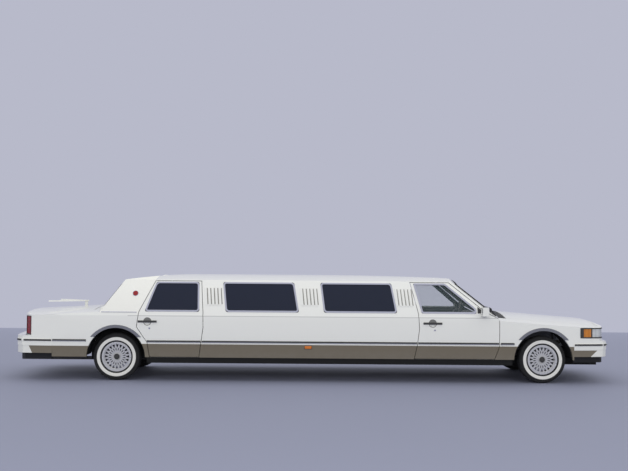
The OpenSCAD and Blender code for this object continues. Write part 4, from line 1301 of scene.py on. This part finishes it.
@dataclass
class EndTrim:
    """Bumper strips, lamp bezels, lamp dividers and lamp ribs.

    A strip is where it ends along the car, and its lower and upper edge.
    """

    front_strip: Point = (3.705, 0.537, 0.561)
    rear_strip: Point = (-3.670, 0.554, 0.578)
    strip_thick: float = 0.005
    head_z: tuple[float, float] = (0.651, 0.782)
    head_inner_y: float = 0.424
    head_outer_x: float = 3.794
    head_bead_r: float = 0.009
    head_end: float = 1.4
    amber_x: float = 3.956
    divider_half: float = 0.2
    post_thick: float = 0.004
    tail_z: tuple[float, float] = (0.640, 0.896)
    tail_inner_y: float = 0.766
    tail_outer_x: float = -3.972
    tail_bead_r: float = 0.0055
    rib_zs: tuple[float, ...] = (0.724, 0.812)
    rib_half: float = 0.003

    def strips(self) -> None:
        """Makes the dark strips round the bumpers."""
        for name, bar, (end_x, z0, z1) in (("front_strip", FRONT_BAR, self.front_strip),
                                           ("rear_strip", REAR_BAR, self.rear_strip)):
            side = bar.angle_at_x(end_x)
            Bench.fit(bar.band(name, -side, side, z0, z1, self.strip_thick), BLACK, "root")

    def head_lamps(self) -> None:
        """Makes the bezels, dividers and dark ends of the head lamps."""
        inner, outer = NOSE.angle_at(self.head_inner_y), NOSE.angle_at_x(self.head_outer_x)
        bezel = NOSE.bead("head_bezel_left", inner, outer, *self.head_z, self.head_bead_r)
        Bench.fit_pair(bezel, BLACK, "root")
        split = NOSE.angle_at_x(self.amber_x)
        for name, start, end in (("head_divider_left", split - self.divider_half, split + self.divider_half),
                                 ("head_end_left", outer - self.head_end, outer)):
            Bench.fit_pair(NOSE.band(name, start, end, *self.head_z, self.post_thick), BLACK, "root")

    def tail_lamps(self) -> None:
        """Makes the bezels and ribs of the tail lamps."""
        inner, outer = TAIL.angle_at(self.tail_inner_y), TAIL.angle_at_x(self.tail_outer_x)
        bezel = TAIL.bead("tail_bezel_left", inner, outer, *self.tail_z, self.tail_bead_r)
        Bench.fit_pair(bezel, BLACK, "root")
        half = self.rib_half
        for index, z in enumerate(self.rib_zs):
            rib = TAIL.band(f"tail_rib_{index}_left", inner, outer, z - half, z + half, half)
            Bench.fit_pair(rib, TAIL_LENS, "root")

    def build(self) -> None:
        """Makes the trim of both ends."""
        self.strips()
        self.head_lamps()
        self.tail_lamps()


@dataclass(frozen=True)
class Screen:
    """A bowed screen: its foot, its slope and the opening in it."""

    foot: Point
    slope: float
    facing: float
    bow_r: float
    low: float
    high: float
    low_half: float
    high_half: float

    def point(self, up: float, y: float, out: float) -> Vector:
        """A point on the glass line, a distance up it, and off it."""
        lean = math.radians(self.slope)
        climb = Vector((-self.facing * math.cos(lean), 0.0, math.sin(lean)))
        normal = Vector((self.facing * math.sin(lean), 0.0, math.cos(lean)))
        sag = self.bow_r - math.sqrt(self.bow_r ** 2 - y * y)
        return Vector(self.foot) + climb * up + normal * (out - sag) + Vector((0.0, y, 0.0))

    def gasket(self, name: str, width: float, thick: float, sink: float = 0.006) -> bpy.types.Object:
        """A seal round the opening."""
        grow = width / 2
        low, high = self.low_half + grow, self.high_half + grow
        corners = [(-low, self.low - grow, 0.0), (low, self.low - grow, 0.0), (high, self.high + grow, 0.0),
                   (-high, self.high + grow, 0.0)]
        piece = Bench.frame(name, corners, width, 0.05, 6)
        for vertex in piece.data.vertices:
            vertex.co = self.point(vertex.co.y, vertex.co.x, -sink)
        return Bench.thicken(piece, (0.0, 0.0, 1.0), thick + sink, 0.0025)


@dataclass
class Screens:
    """Seals of the windscreen and the rear window, the wipers and the rear-view mirror.

    A wiper is the Y of its pivot and of both ends of its blade.
    """

    front: Screen = Screen((2.690, 0.0, 0.980), 36.9, 1.0, 4.493, 0.040, 0.735, 0.830, 0.715)
    rear: Screen = Screen((-3.050, 0.0, 1.060), 51.5, -1.0, 4.493, 0.030, 0.400, 0.710, 0.640)
    wipers: tuple[Point, ...] = ((0.36, 0.66, 0.06), (-0.20, 0.10, -0.46))
    wiper_r: float = 0.006
    blade_up: float = 0.066
    blade_steps: int = 12
    mirror_up: float = 0.660
    mirror_half: float = 0.125

    def build(self) -> None:
        """Makes the seals, two wipers and the mirror."""
        Bench.fit(self.front.gasket("screen_seal", 0.034, 0.012), RUBBER, "root")
        Bench.fit(self.rear.gasket("back_seal", 0.030, 0.004), RUBBER, "root")
        for index, (pivot, left, right) in enumerate(self.wipers):
            arm = [self.front.point(0.012, pivot, 0.010), self.front.point(0.030, pivot, 0.026),
                   self.front.point(self.blade_up, (left + right) / 2, 0.022)]
            Bench.fit(Bench.tube(f"wiper_arm_{index}", arm, self.wiper_r), BLACK, "root")
            ys = [left + (right - left) * i / self.blade_steps for i in range(self.blade_steps + 1)]
            blade = [self.front.point(self.blade_up, y, 0.014) for y in ys]
            Bench.fit(Bench.tube(f"wiper_blade_{index}", blade, self.wiper_r), RUBBER, "root")
        x, y, z = self.front.point(self.mirror_up, 0.0, -0.012)
        stem = Bench.tube("mirror_stem", [(x, y, z), (x - 0.020, y, z - 0.055)], 0.007)
        Bench.fit(stem, BLACK, "root")
        case = Bench.block("cabin_mirror", (x - 0.050, -self.mirror_half, z - 0.100),
                           (x - 0.015, self.mirror_half, z - 0.042), 0.012, 3)
        Bench.fit(case, BLACK, "root")


@dataclass
class DoorTrim:
    """Mirror panes, quarter plates, handles with their cups, and locks of the doors."""

    mirror_low: Point = (2.3885, 0.985, 0.963)
    mirror_high: Point = (2.3950, 1.091, 1.057)
    quarter: tuple[Spot, ...] = ((2.336, 0.982), (2.336, 1.074), (2.384, 1.036), (2.462, 0.986))
    handles: tuple[tuple[str, float], ...] = (("front", 1.701), ("rear", -2.321))
    handle_z: float = 0.838
    grip_half_len: float = 0.132
    grip_half_h: float = 0.014
    grip_out: float = 0.0165
    grip_sink: float = 0.0005
    cup_r: float = 0.058
    cup_rim: float = 0.007
    cup_thick: float = 0.0012
    cup_steps: int = 14
    lock_x: float = 0.030
    lock_z: float = 0.744
    lock_r: float = 0.013

    def arc(self, x: float, start: float, radius: float) -> list[Spot]:
        """X and Z of a half circle round a handle's middle, from an angle on."""
        turns = [start + math.pi * i / self.cup_steps for i in range(self.cup_steps + 1)]
        return [(x + radius * math.cos(t), self.handle_z + radius * math.sin(t)) for t in turns]

    def handle(self, end: str, x: float) -> None:
        """Makes the handles, their cups and the locks of a pair of doors."""
        body, z = end + "_door_{}", self.handle_z
        grip = BODY.strip(end + "_handle_left", x - self.grip_half_len, x + self.grip_half_len,
                          z - self.grip_half_h, z + self.grip_half_h, self.grip_out, self.grip_sink)
        Bench.fit_pair(grip, BLACK, body)
        shade = self.arc(x, 0.0, self.cup_r)
        rim = self.arc(x, math.pi, self.cup_r) + self.arc(x, math.pi, self.cup_r - self.cup_rim)[::-1]
        for name, corners in (("_cup_left", shade), ("_cup_rim_left", rim)):
            Bench.fit_pair(BODY.patch(end + name, corners, 0.0, self.cup_thick), CUP_GREY, body)
        lock = BODY.disc(end + "_lock_left", x + self.lock_x, self.lock_z, self.lock_r, 0.004)
        Bench.fit_pair(lock, CHROME, body)

    def build(self) -> None:
        """Makes the trim of the four doors."""
        pane = Bench.block("mirror_pane_left", self.mirror_low, self.mirror_high, 0.002)
        Bench.fit_pair(pane, MIRROR_GLASS, "front_door_{}")
        plate = BODY.patch("quarter_plate_left", self.quarter, 0.006, 0.004)
        Bench.fit_pair(plate, BLACK, "front_door_{}")
        for end, x in self.handles:
            self.handle(end, x)


@dataclass
class PaddedTop:
    """Piping along the edges of the padded top, and a plain disc on each side of it."""

    front_x: float = -2.232
    half_y: float = 0.76
    piping_r: float = 0.008
    piping_steps: int = 30
    bead_x: float = -2.475
    bead_len: float = 0.50
    bead_z: float = 0.968
    bead_r: float = 0.007
    bead_steps: int = 12
    disc_place: Spot = (-2.511, 1.230)
    disc_rim_r: float = 0.042
    disc_r: float = 0.036
    crown_r: float = 4.144
    roof_z: float = 1.500
    fall_x: float = -1.680
    fall_r: float = 6.5

    def roof(self, y: float) -> float:
        """Height of the roof at the top's front edge."""
        fall = self.fall_r - math.sqrt(self.fall_r ** 2 - (self.front_x - self.fall_x) ** 2)
        return self.roof_z - self.crown_r + math.sqrt(self.crown_r ** 2 - y * y) - fall

    def build(self) -> None:
        """Makes the piping and the discs."""
        steps = self.piping_steps
        ys = [-self.half_y + 2 * self.half_y * i / steps for i in range(steps + 1)]
        over = Bench.tube("top_piping", [(self.front_x, y, self.roof(y)) for y in ys], self.piping_r)
        Bench.fit(over, PADDED_TOP, "root")
        xs = [self.bead_x - self.bead_len * i / self.bead_steps for i in range(self.bead_steps + 1)]
        low = [(x, BODY.side(x, self.bead_z), self.bead_z) for x in xs]
        Bench.fit_pair(Bench.tube("top_bead_left", low, self.bead_r), CHROME, "root")
        Bench.fit_pair(BODY.disc("top_disc_rim_left", *self.disc_place, self.disc_rim_r, 0.004), CHROME,
                       "root")
        Bench.fit_pair(BODY.disc("top_disc_left", *self.disc_place, self.disc_r, 0.006), RED_ENAMEL, "root")


# Trim inside

@dataclass(frozen=True)
class Cushion:
    """A crowned, sewn cushion between two corners, leaned about its middle."""

    name: str
    low: Point
    high: Point
    lean: float = 0.0
    face: Point = (0.0, 0.0, 1.0)
    voxel: float = 0.012
    cap: float = 0.020
    channels: int = 3
    along: int = 1

    def middle(self) -> Vector:
        """The cushion's middle."""
        return (Vector(self.low) + Vector(self.high)) / 2

    def swell(self, piece: bpy.types.Object) -> None:
        """Blows the cover up as cloth, and caps how far each point moves."""
        rest = [vertex.co.copy() for vertex in piece.data.vertices]
        Bench.focus(piece)
        cloth = piece.modifiers.new("cloth", "CLOTH")
        cloth.settings.use_pressure = True
        cloth.settings.uniform_pressure_force = 4.0
        cloth.settings.effector_weights.gravity = 0.0
        cloth.point_cache.frame_end = 20
        for step in range(1, 21):
            bpy.context.scene.frame_set(step)
        bpy.ops.object.modifier_apply(modifier=cloth.name)
        bpy.context.scene.frame_set(1)
        for vertex, start in zip(piece.data.vertices, rest):
            move = vertex.co - start
            if move.length > self.cap:
                vertex.co = start + move * (self.cap / move.length)

    def sew(self, piece: bpy.types.Object, turn: Matrix) -> None:
        """Draws sewn channels into the cushion's face."""
        face = turn @ Vector(self.face)
        low, high = self.low[self.along], self.high[self.along]
        seams = [low + (high - low) * (i + 1) / (self.channels + 1) for i in range(self.channels)]
        dips = []
        for vertex in piece.data.vertices:
            spread = sum(math.exp(-((vertex.co[self.along] - seam) / 0.011) ** 2) for seam in seams)
            dips.append(vertex.normal * (0.011 * spread * max(0.0, vertex.normal.dot(face))))
        for vertex, dip in zip(piece.data.vertices, dips):
            vertex.co -= dip

    def build(self) -> bpy.types.Object:
        """Makes the cushion."""
        piece = Bench.block(self.name, self.low, self.high, 0.024, 4)
        turn = Matrix.Rotation(math.radians(self.lean), 3, "Y")
        place = Matrix.Translation(self.middle())
        piece.data.transform(place @ turn.to_4x4() @ place.inverted())
        Bench.modify(piece, "REMESH", mode="VOXEL", voxel_size=self.voxel)
        self.swell(piece)
        self.sew(piece, turn)
        Bench.modify(piece, "SUBSURF", levels=1, render_levels=1)
        Bench.smooth(piece, 60.0)
        return piece


@dataclass
class Seats:
    """Cushions of the driver's cabin and of the lounge."""

    front: tuple[Cushion, ...] = (
        Cushion("front_seat_left", (1.655, 0.125, 0.515), (2.095, 0.685, 0.590), -3.7),
        Cushion("front_back_left", (1.548, 0.125, 0.560), (1.628, 0.685, 1.105), -14.7, (1.0, 0.0, 0.0)),
        Cushion("head_rest_left", (1.400, 0.285, 1.150), (1.480, 0.525, 1.300), -10.0, (1.0, 0.0, 0.0),
                channels=0))
    rear: tuple[Cushion, ...] = (
        Cushion("rear_seat_left", (-2.170, 0.015, 0.475), (-1.660, 0.615, 0.545), -3.0, voxel=0.016),
        Cushion("rear_back_left", (-2.235, 0.015, 0.520), (-2.155, 0.615, 1.040), -18.0,
                (1.0, 0.0, 0.0), 0.016))
    side: tuple[Cushion, ...] = (
        Cushion("side_seat", (-1.165, 0.395, 0.455), (-0.505, 0.725, 0.520), 0.0, voxel=0.016, along=0),
        Cushion("side_back", (-1.165, 0.690, 0.500), (-0.505, 0.765, 0.850), 0.0, (0.0, -1.0, 0.0),
                0.016, along=0))
    side_step: float = 0.690

    def build(self) -> None:
        """Makes all cushions; the driver's and the rear ones in pairs, the side ones in a row."""
        for cushion in self.front + self.rear:
            piece = cushion.build()
            twin = Bench.mirrored(piece, piece.name.replace("_left", "_right"))
            self.place(piece, twin)
        for cushion in self.side:
            piece = cushion.build()
            row = [Bench.moved(piece, f"{cushion.name}_{i}", (i * self.side_step, 0.0, 0.0)) for i in (1, 2)]
            self.place(piece, *row)

    @staticmethod
    def place(*pads: bpy.types.Object) -> None:
        """Declares cushions as padded and fits them."""
        for pad in pads:
            Bench.fit(pad, HIDE, "root")


@dataclass
class Cockpit:
    """Dials, vents, pad and selector at the dashboard, and arm rests on the doors."""

    face_x: float = 2.355
    driver_y: float = 0.405
    dial_z: float = 0.828
    dial_r: float = 0.050
    dial_step: float = 0.125
    dial_points: int = 32
    needle_len: float = 0.040
    needle_turns: tuple[float, ...] = (130.0, 95.0, 60.0)
    vents: tuple[Spot, ...] = ((-0.80, -0.66), (-0.16, 0.0), (0.66, 0.80))
    vent_z: float = 0.800
    vent_fins: int = 4
    fin_pitch: float = 0.018
    fin_h: float = 0.008
    keys: int = 4
    key_y: float = -0.155
    key_pitch: float = 0.042
    key_w: float = 0.032
    wheel_z: float = 0.835
    wheel_x: float = 0.040
    wheel_lean: float = -65.0
    pad_up: float = 0.198
    stalk: tuple[Point, ...] = ((0.0, -0.02, 0.130), (0.02, -0.12, 0.150), (0.03, -0.165, 0.152))
    knob_half: float = 0.012
    cards: tuple[tuple[str, float, float], ...] = (("front_door", 1.720, 2.260),
                                                   ("rear_door", -2.150, -1.720))
    card_y: float = 0.888
    pull_z: float = 0.760
    pull_y: float = 0.868
    speaker_r: float = 0.075
    speaker_z: float = 0.470

    def build(self) -> None:
        """Makes the pieces of the dashboard and the door cards."""
        self.dials()
        self.controls()
        self.selector()
        self.door_cards()

    def panel(self, name: str, finish: Finish, x: Spot, y: Spot, z: Spot, edge: float,
              segments: int = 2) -> None:
        """Makes a rounded block between two X from the dashboard's face, two Y and two Z."""
        low, high = zip((self.face_x + x[0], self.face_x + x[1]), y, z)
        Bench.fit(Bench.block(name, low, high, edge, segments), finish, "root")

    def on_dial(self, index: int, turn: float, reach: float, out: float) -> Point:
        """A point on a dial, at an angle and a distance from its middle, and off the face."""
        y = self.driver_y + (index - 1) * self.dial_step
        return (self.face_x - out, y + reach * math.cos(turn), self.dial_z + reach * math.sin(turn))

    def dials(self) -> None:
        """A hooded binnacle with three round dials."""
        y = self.driver_y
        self.panel("binnacle", DASH, (-0.045, 0.120), (y - 0.215, y + 0.215), (0.885, 0.955), 0.018, 4)
        self.panel("dial_panel", DARK_FACE, (-0.012, 0.004), (y - 0.200, y + 0.200), (0.765, 0.890), 0.006)
        for index, needle_turn in enumerate(self.needle_turns):
            turns = [math.tau * i / self.dial_points for i in range(self.dial_points)]
            rim = [self.on_dial(index, turn, self.dial_r, 0.013) for turn in turns]
            Bench.fit(Bench.tube(f"dial_ring_{index}", rim, 0.003, True), CHROME, "root")
            turn = math.radians(needle_turn)
            needle = [self.on_dial(index, turn, reach, 0.014) for reach in (0.0, self.needle_len)]
            Bench.fit(Bench.tube(f"needle_{index}", needle, 0.0015), RED_ENAMEL, "root")

    def controls(self) -> None:
        """Vents and the centre panel with its keys."""
        for index, span in enumerate(self.vents):
            for row in range(self.vent_fins):
                z = self.vent_z + self.fin_pitch * row
                self.panel(f"vent_{index}_{row}", BLACK, (-0.010, 0.004), span, (z, z + self.fin_h), 0.002)
        self.panel("centre_panel", DARK_FACE, (-0.010, 0.004), (-0.170, 0.010), (0.712, 0.790), 0.004)
        for index in range(self.keys):
            y = self.key_y + self.key_pitch * index
            self.panel(f"panel_key_{index}", GREY_TRIM, (-0.016, -0.006), (y, y + self.key_w),
                       (0.722, 0.738), 0.002)

    def selector(self) -> None:
        """The steering wheel's pad, and the selector on its column."""
        pad = Bench.block("wheel_pad", (-0.060, -0.085, -0.014), (0.060, 0.085, 0.014), 0.012, 4)
        turn = Matrix.Rotation(math.radians(self.wheel_lean), 4, "Y")
        hub = Matrix.Translation((self.face_x + self.wheel_x, self.driver_y, self.wheel_z)) @ turn
        pad.data.transform(hub @ Matrix.Translation((0.0, 0.0, self.pad_up)))
        Bench.fit(pad, DASH, "root")
        stalk = [hub @ Vector(place) for place in self.stalk]
        Bench.fit(Bench.tube("selector", stalk, 0.006), CHROME, "root")
        half = Vector((self.knob_half, self.knob_half, self.knob_half))
        knob = Bench.block("selector_knob", stalk[-1] - half, stalk[-1] + half, 0.007, 4)
        Bench.fit(knob, BLACK, "root")

    def door_cards(self) -> None:
        """Arm rests, pulls and loudspeakers on the four doors."""
        for stem, x0, x1 in self.cards:
            body = stem + "_{}"
            rest = Bench.block(stem + "_rest_left", (x0, 0.826, 0.610), (x1, 0.889, 0.665), 0.018, 4)
            Bench.fit_pair(rest, HIDE, body)
            back, front = x1 - 0.20, x1 - 0.06
            grip_z = self.pull_z + 0.005
            pull = Bench.tube(stem + "_pull_left", [
                (back, self.card_y, self.pull_z), (back, self.pull_y, grip_z), (front, self.pull_y, grip_z),
                (front, self.card_y, self.pull_z)], 0.008)
            Bench.fit_pair(pull, CHROME, body)
            Bench.clear()
            bpy.ops.mesh.primitive_cylinder_add(
                vertices=40, radius=self.speaker_r, depth=0.016, rotation=(math.pi / 2, 0, 0),
                location=(x1 - 0.12, self.card_y - 0.002, self.speaker_z))
            speaker = Bench.named(stem + "_speaker_left")
            Bench.round_off(speaker, 0.004, 3)
            Bench.fit_pair(speaker, BLACK, body)


@dataclass
class EngineBay:
    """What a lifted hood shows: air cleaner, radiator, battery and hoses, with X from the front axle.

    The turned shapes are radius and height.
    """

    cleaner_x: float = -0.04
    cleaner: tuple[Spot, ...] = ((0.0, 0.868), (0.030, 0.868), (0.034, 0.862), (0.150, 0.858),
                                 (0.168, 0.846),
                                 (0.172, 0.806), (0.160, 0.798))
    nut: tuple[Spot, ...] = ((0.0, 0.884), (0.010, 0.884), (0.012, 0.866))
    blocks: tuple[tuple[str, Finish, Point, Point, float, int], ...] = (
        ("radiator", STEEL, (0.640, -0.300, 0.340), (0.690, 0.300, 0.760), 0.006, 2),
        ("radiator_tank", BLACK, (0.632, -0.310, 0.735), (0.698, 0.310, 0.790), 0.014, 3),
        ("battery", BLACK, (0.225, 0.520, 0.690), (0.395, 0.690, 0.800), 0.006, 2))
    post: tuple[Spot, ...] = ((0.0, 0.818), (0.008, 0.818), (0.010, 0.798))
    posts: tuple[Spot, ...] = ((0.250, 0.555), (0.250, 0.655))
    upper_hose: tuple[Point, ...] = ((0.280, 0.10, 0.735), (0.400, 0.12, 0.775), (0.540, 0.14, 0.770),
                                     (0.636, 0.15, 0.762))
    lower_hose: tuple[Point, ...] = ((0.325, -0.12, 0.430), (0.450, -0.14, 0.400), (0.560, -0.16, 0.400),
                                     (0.645, -0.17, 0.410))
    hose_r: float = 0.022

    def build(self) -> None:
        """Makes the pieces round the engine."""
        axle = Vector((BODY.front_axle, 0.0, 0.0))
        middle = (axle.x + self.cleaner_x, 0.0)
        Bench.fit(Bench.spun_up("air_cleaner", self.cleaner, middle, 48), BLACK, "root")
        Bench.fit(Bench.spun_up("wing_nut", self.nut, middle, 6), CHROME, "root")
        for name, finish, low, high, edge, segments in self.blocks:
            block = Bench.block(name, axle + Vector(low), axle + Vector(high), edge, segments)
            Bench.fit(block, finish, "root")
        for index, (x, y) in enumerate(self.posts):
            post = Bench.spun_up(f"battery_post_{index}", self.post, (axle.x + x, y), 16)
            Bench.fit(post, CAST, "root")
        for name, path in (("upper_hose", self.upper_hose), ("lower_hose", self.lower_hose)):
            hose = Bench.tube(name, [axle + Vector(place) for place in path], self.hose_r, sides=5)
            Bench.fit(hose, RUBBER, "root")


# Studio

@dataclass
class Studio:
    """Floor, light and camera."""

    eye: Point = (0.018, -13.46, 1.65)
    lens: float = 50.68
    sensor: float = 36.0
    pitch: float = 1.91
    roll: float = 0.43
    wall: Colour = (0.479, 0.491, 0.591)
    fill: Colour = (0.77, 0.78, 0.765)
    floor_size: float = 90.0
    floor_place: Point = (0.0, -36.0, 0.0)
    overhead_z: float = 11.0
    overhead_size: tuple[float, float] = (24.0, 9.0)
    overhead_power: float = 400.0
    side_y: float = 14.0
    side_z: float = 4.6
    side_size: tuple[float, float] = (28.0, 3.0)
    side_power: float = 760.0

    def camera(self) -> None:
        """Places the camera where the photograph was taken from."""
        data = bpy.data.cameras.new("camera")
        data.lens = self.lens
        data.sensor_width = self.sensor
        eye = bpy.data.objects.new("camera", data)
        turn = Matrix.Rotation(math.radians(90.0 + self.pitch), 4, "X")
        tilt = Matrix.Rotation(math.radians(self.roll), 4, "Z")
        eye.matrix_world = Matrix.Translation(self.eye) @ turn @ tilt
        bpy.context.scene.collection.objects.link(eye)
        bpy.context.scene.camera = eye

    def floor(self) -> None:
        """Lays a wide pale floor."""
        Bench.clear()
        bpy.ops.mesh.primitive_plane_add(size=self.floor_size, location=self.floor_place)
        ground = Bench.named("floor")
        Ground("ground").dress(ground)

    @staticmethod
    def lamp(name: str, place: Point, target: Point, size: tuple[float, float],
             power: float) -> bpy.types.Object:
        """Hangs a soft oblong lamp that faces a target."""
        data = bpy.data.lights.new(name, "AREA")
        data.shape = "RECTANGLE"
        data.size, data.size_y = size
        data.energy = power
        lamp = bpy.data.objects.new(name, data)
        lamp.location = place
        lamp.rotation_euler = (Vector(target) - Vector(place)).to_track_quat("-Z", "Y").to_euler()
        bpy.context.scene.collection.objects.link(lamp)
        return lamp

    def sky(self) -> None:
        """Lights the car from all round, and shows it, bright metal and glass a plain wall."""
        world = bpy.data.worlds.new("studio")
        bpy.context.scene.world = world
        world.use_nodes = True
        nodes, links = world.node_tree.nodes, world.node_tree.links
        rays = nodes.new("ShaderNodeLightPath")
        shown = rays.outputs["Is Camera Ray"]
        for name in ("Is Glossy Ray", "Is Transmission Ray"):
            either = nodes.new("ShaderNodeMath")
            either.operation = "MAXIMUM"
            links.new(shown, either.inputs[0])
            links.new(rays.outputs[name], either.inputs[1])
            shown = either.outputs[0]
        tone = nodes.new("ShaderNodeMix")
        tone.data_type = "RGBA"
        links.new(shown, tone.inputs["Factor"])
        tone.inputs["A"].default_value = (*self.fill, 1.0)
        tone.inputs["B"].default_value = (*self.wall, 1.0)
        links.new(tone.outputs["Result"], nodes["Background"].inputs["Color"])

    def lamps(self) -> None:
        """Hangs a lamp overhead, and one on each side that bright metal and glass don't show."""
        self.lamp("overhead", (0.0, 0.0, self.overhead_z), (0.0, 0.0, 0.5), self.overhead_size,
                  self.overhead_power)
        for name, side in (("camera_side", -1.0), ("far_side", 1.0)):
            place = (0.0, self.side_y * side, self.side_z)
            lamp = self.lamp(name, place, (0.0, 0.0, 0.7), self.side_size, self.side_power)
            lamp.visible_glossy = False

    def build(self) -> None:
        """Sets up floor, light, camera and the view transform."""
        self.floor()
        self.sky()
        self.lamps()
        self.camera()
        bpy.context.scene.view_settings.view_transform = "Standard"


# The whole car

@dataclass
class Limousine:
    """The car with all its sub-assemblies."""

    paintwork: Paintwork = field(default_factory=Paintwork)
    windows: WindowTrim = field(default_factory=WindowTrim)
    mouldings: SideMouldings = field(default_factory=SideMouldings)
    louvres: Louvres = field(default_factory=Louvres)
    wheels: Wheels = field(default_factory=Wheels)
    shields: ArchShields = field(default_factory=ArchShields)
    ends: EndTrim = field(default_factory=EndTrim)
    screens: Screens = field(default_factory=Screens)
    doors: DoorTrim = field(default_factory=DoorTrim)
    top: PaddedTop = field(default_factory=PaddedTop)
    seats: Seats = field(default_factory=Seats)
    cockpit: Cockpit = field(default_factory=Cockpit)
    bay: EngineBay = field(default_factory=EngineBay)

    def dress(self) -> None:
        """Dresses the CAD nodes."""
        self.paintwork.dress()

    def build(self) -> None:
        """Models every sub-assembly."""
        for assembly in (self.windows, self.mouldings, self.louvres, self.wheels, self.shields, self.ends,
                         self.screens, self.doors, self.top, self.seats, self.cockpit, self.bay):
            assembly.build()
            LOG.info("%s done", type(assembly).__name__)


def main() -> None:
    """Builds the scene."""
    logging.basicConfig(level=logging.INFO, format="%(name)s: %(message)s")
    car = Limousine()
    car.dress()
    car.build()
    Studio().build()


if __name__ == "__main__":
    main()
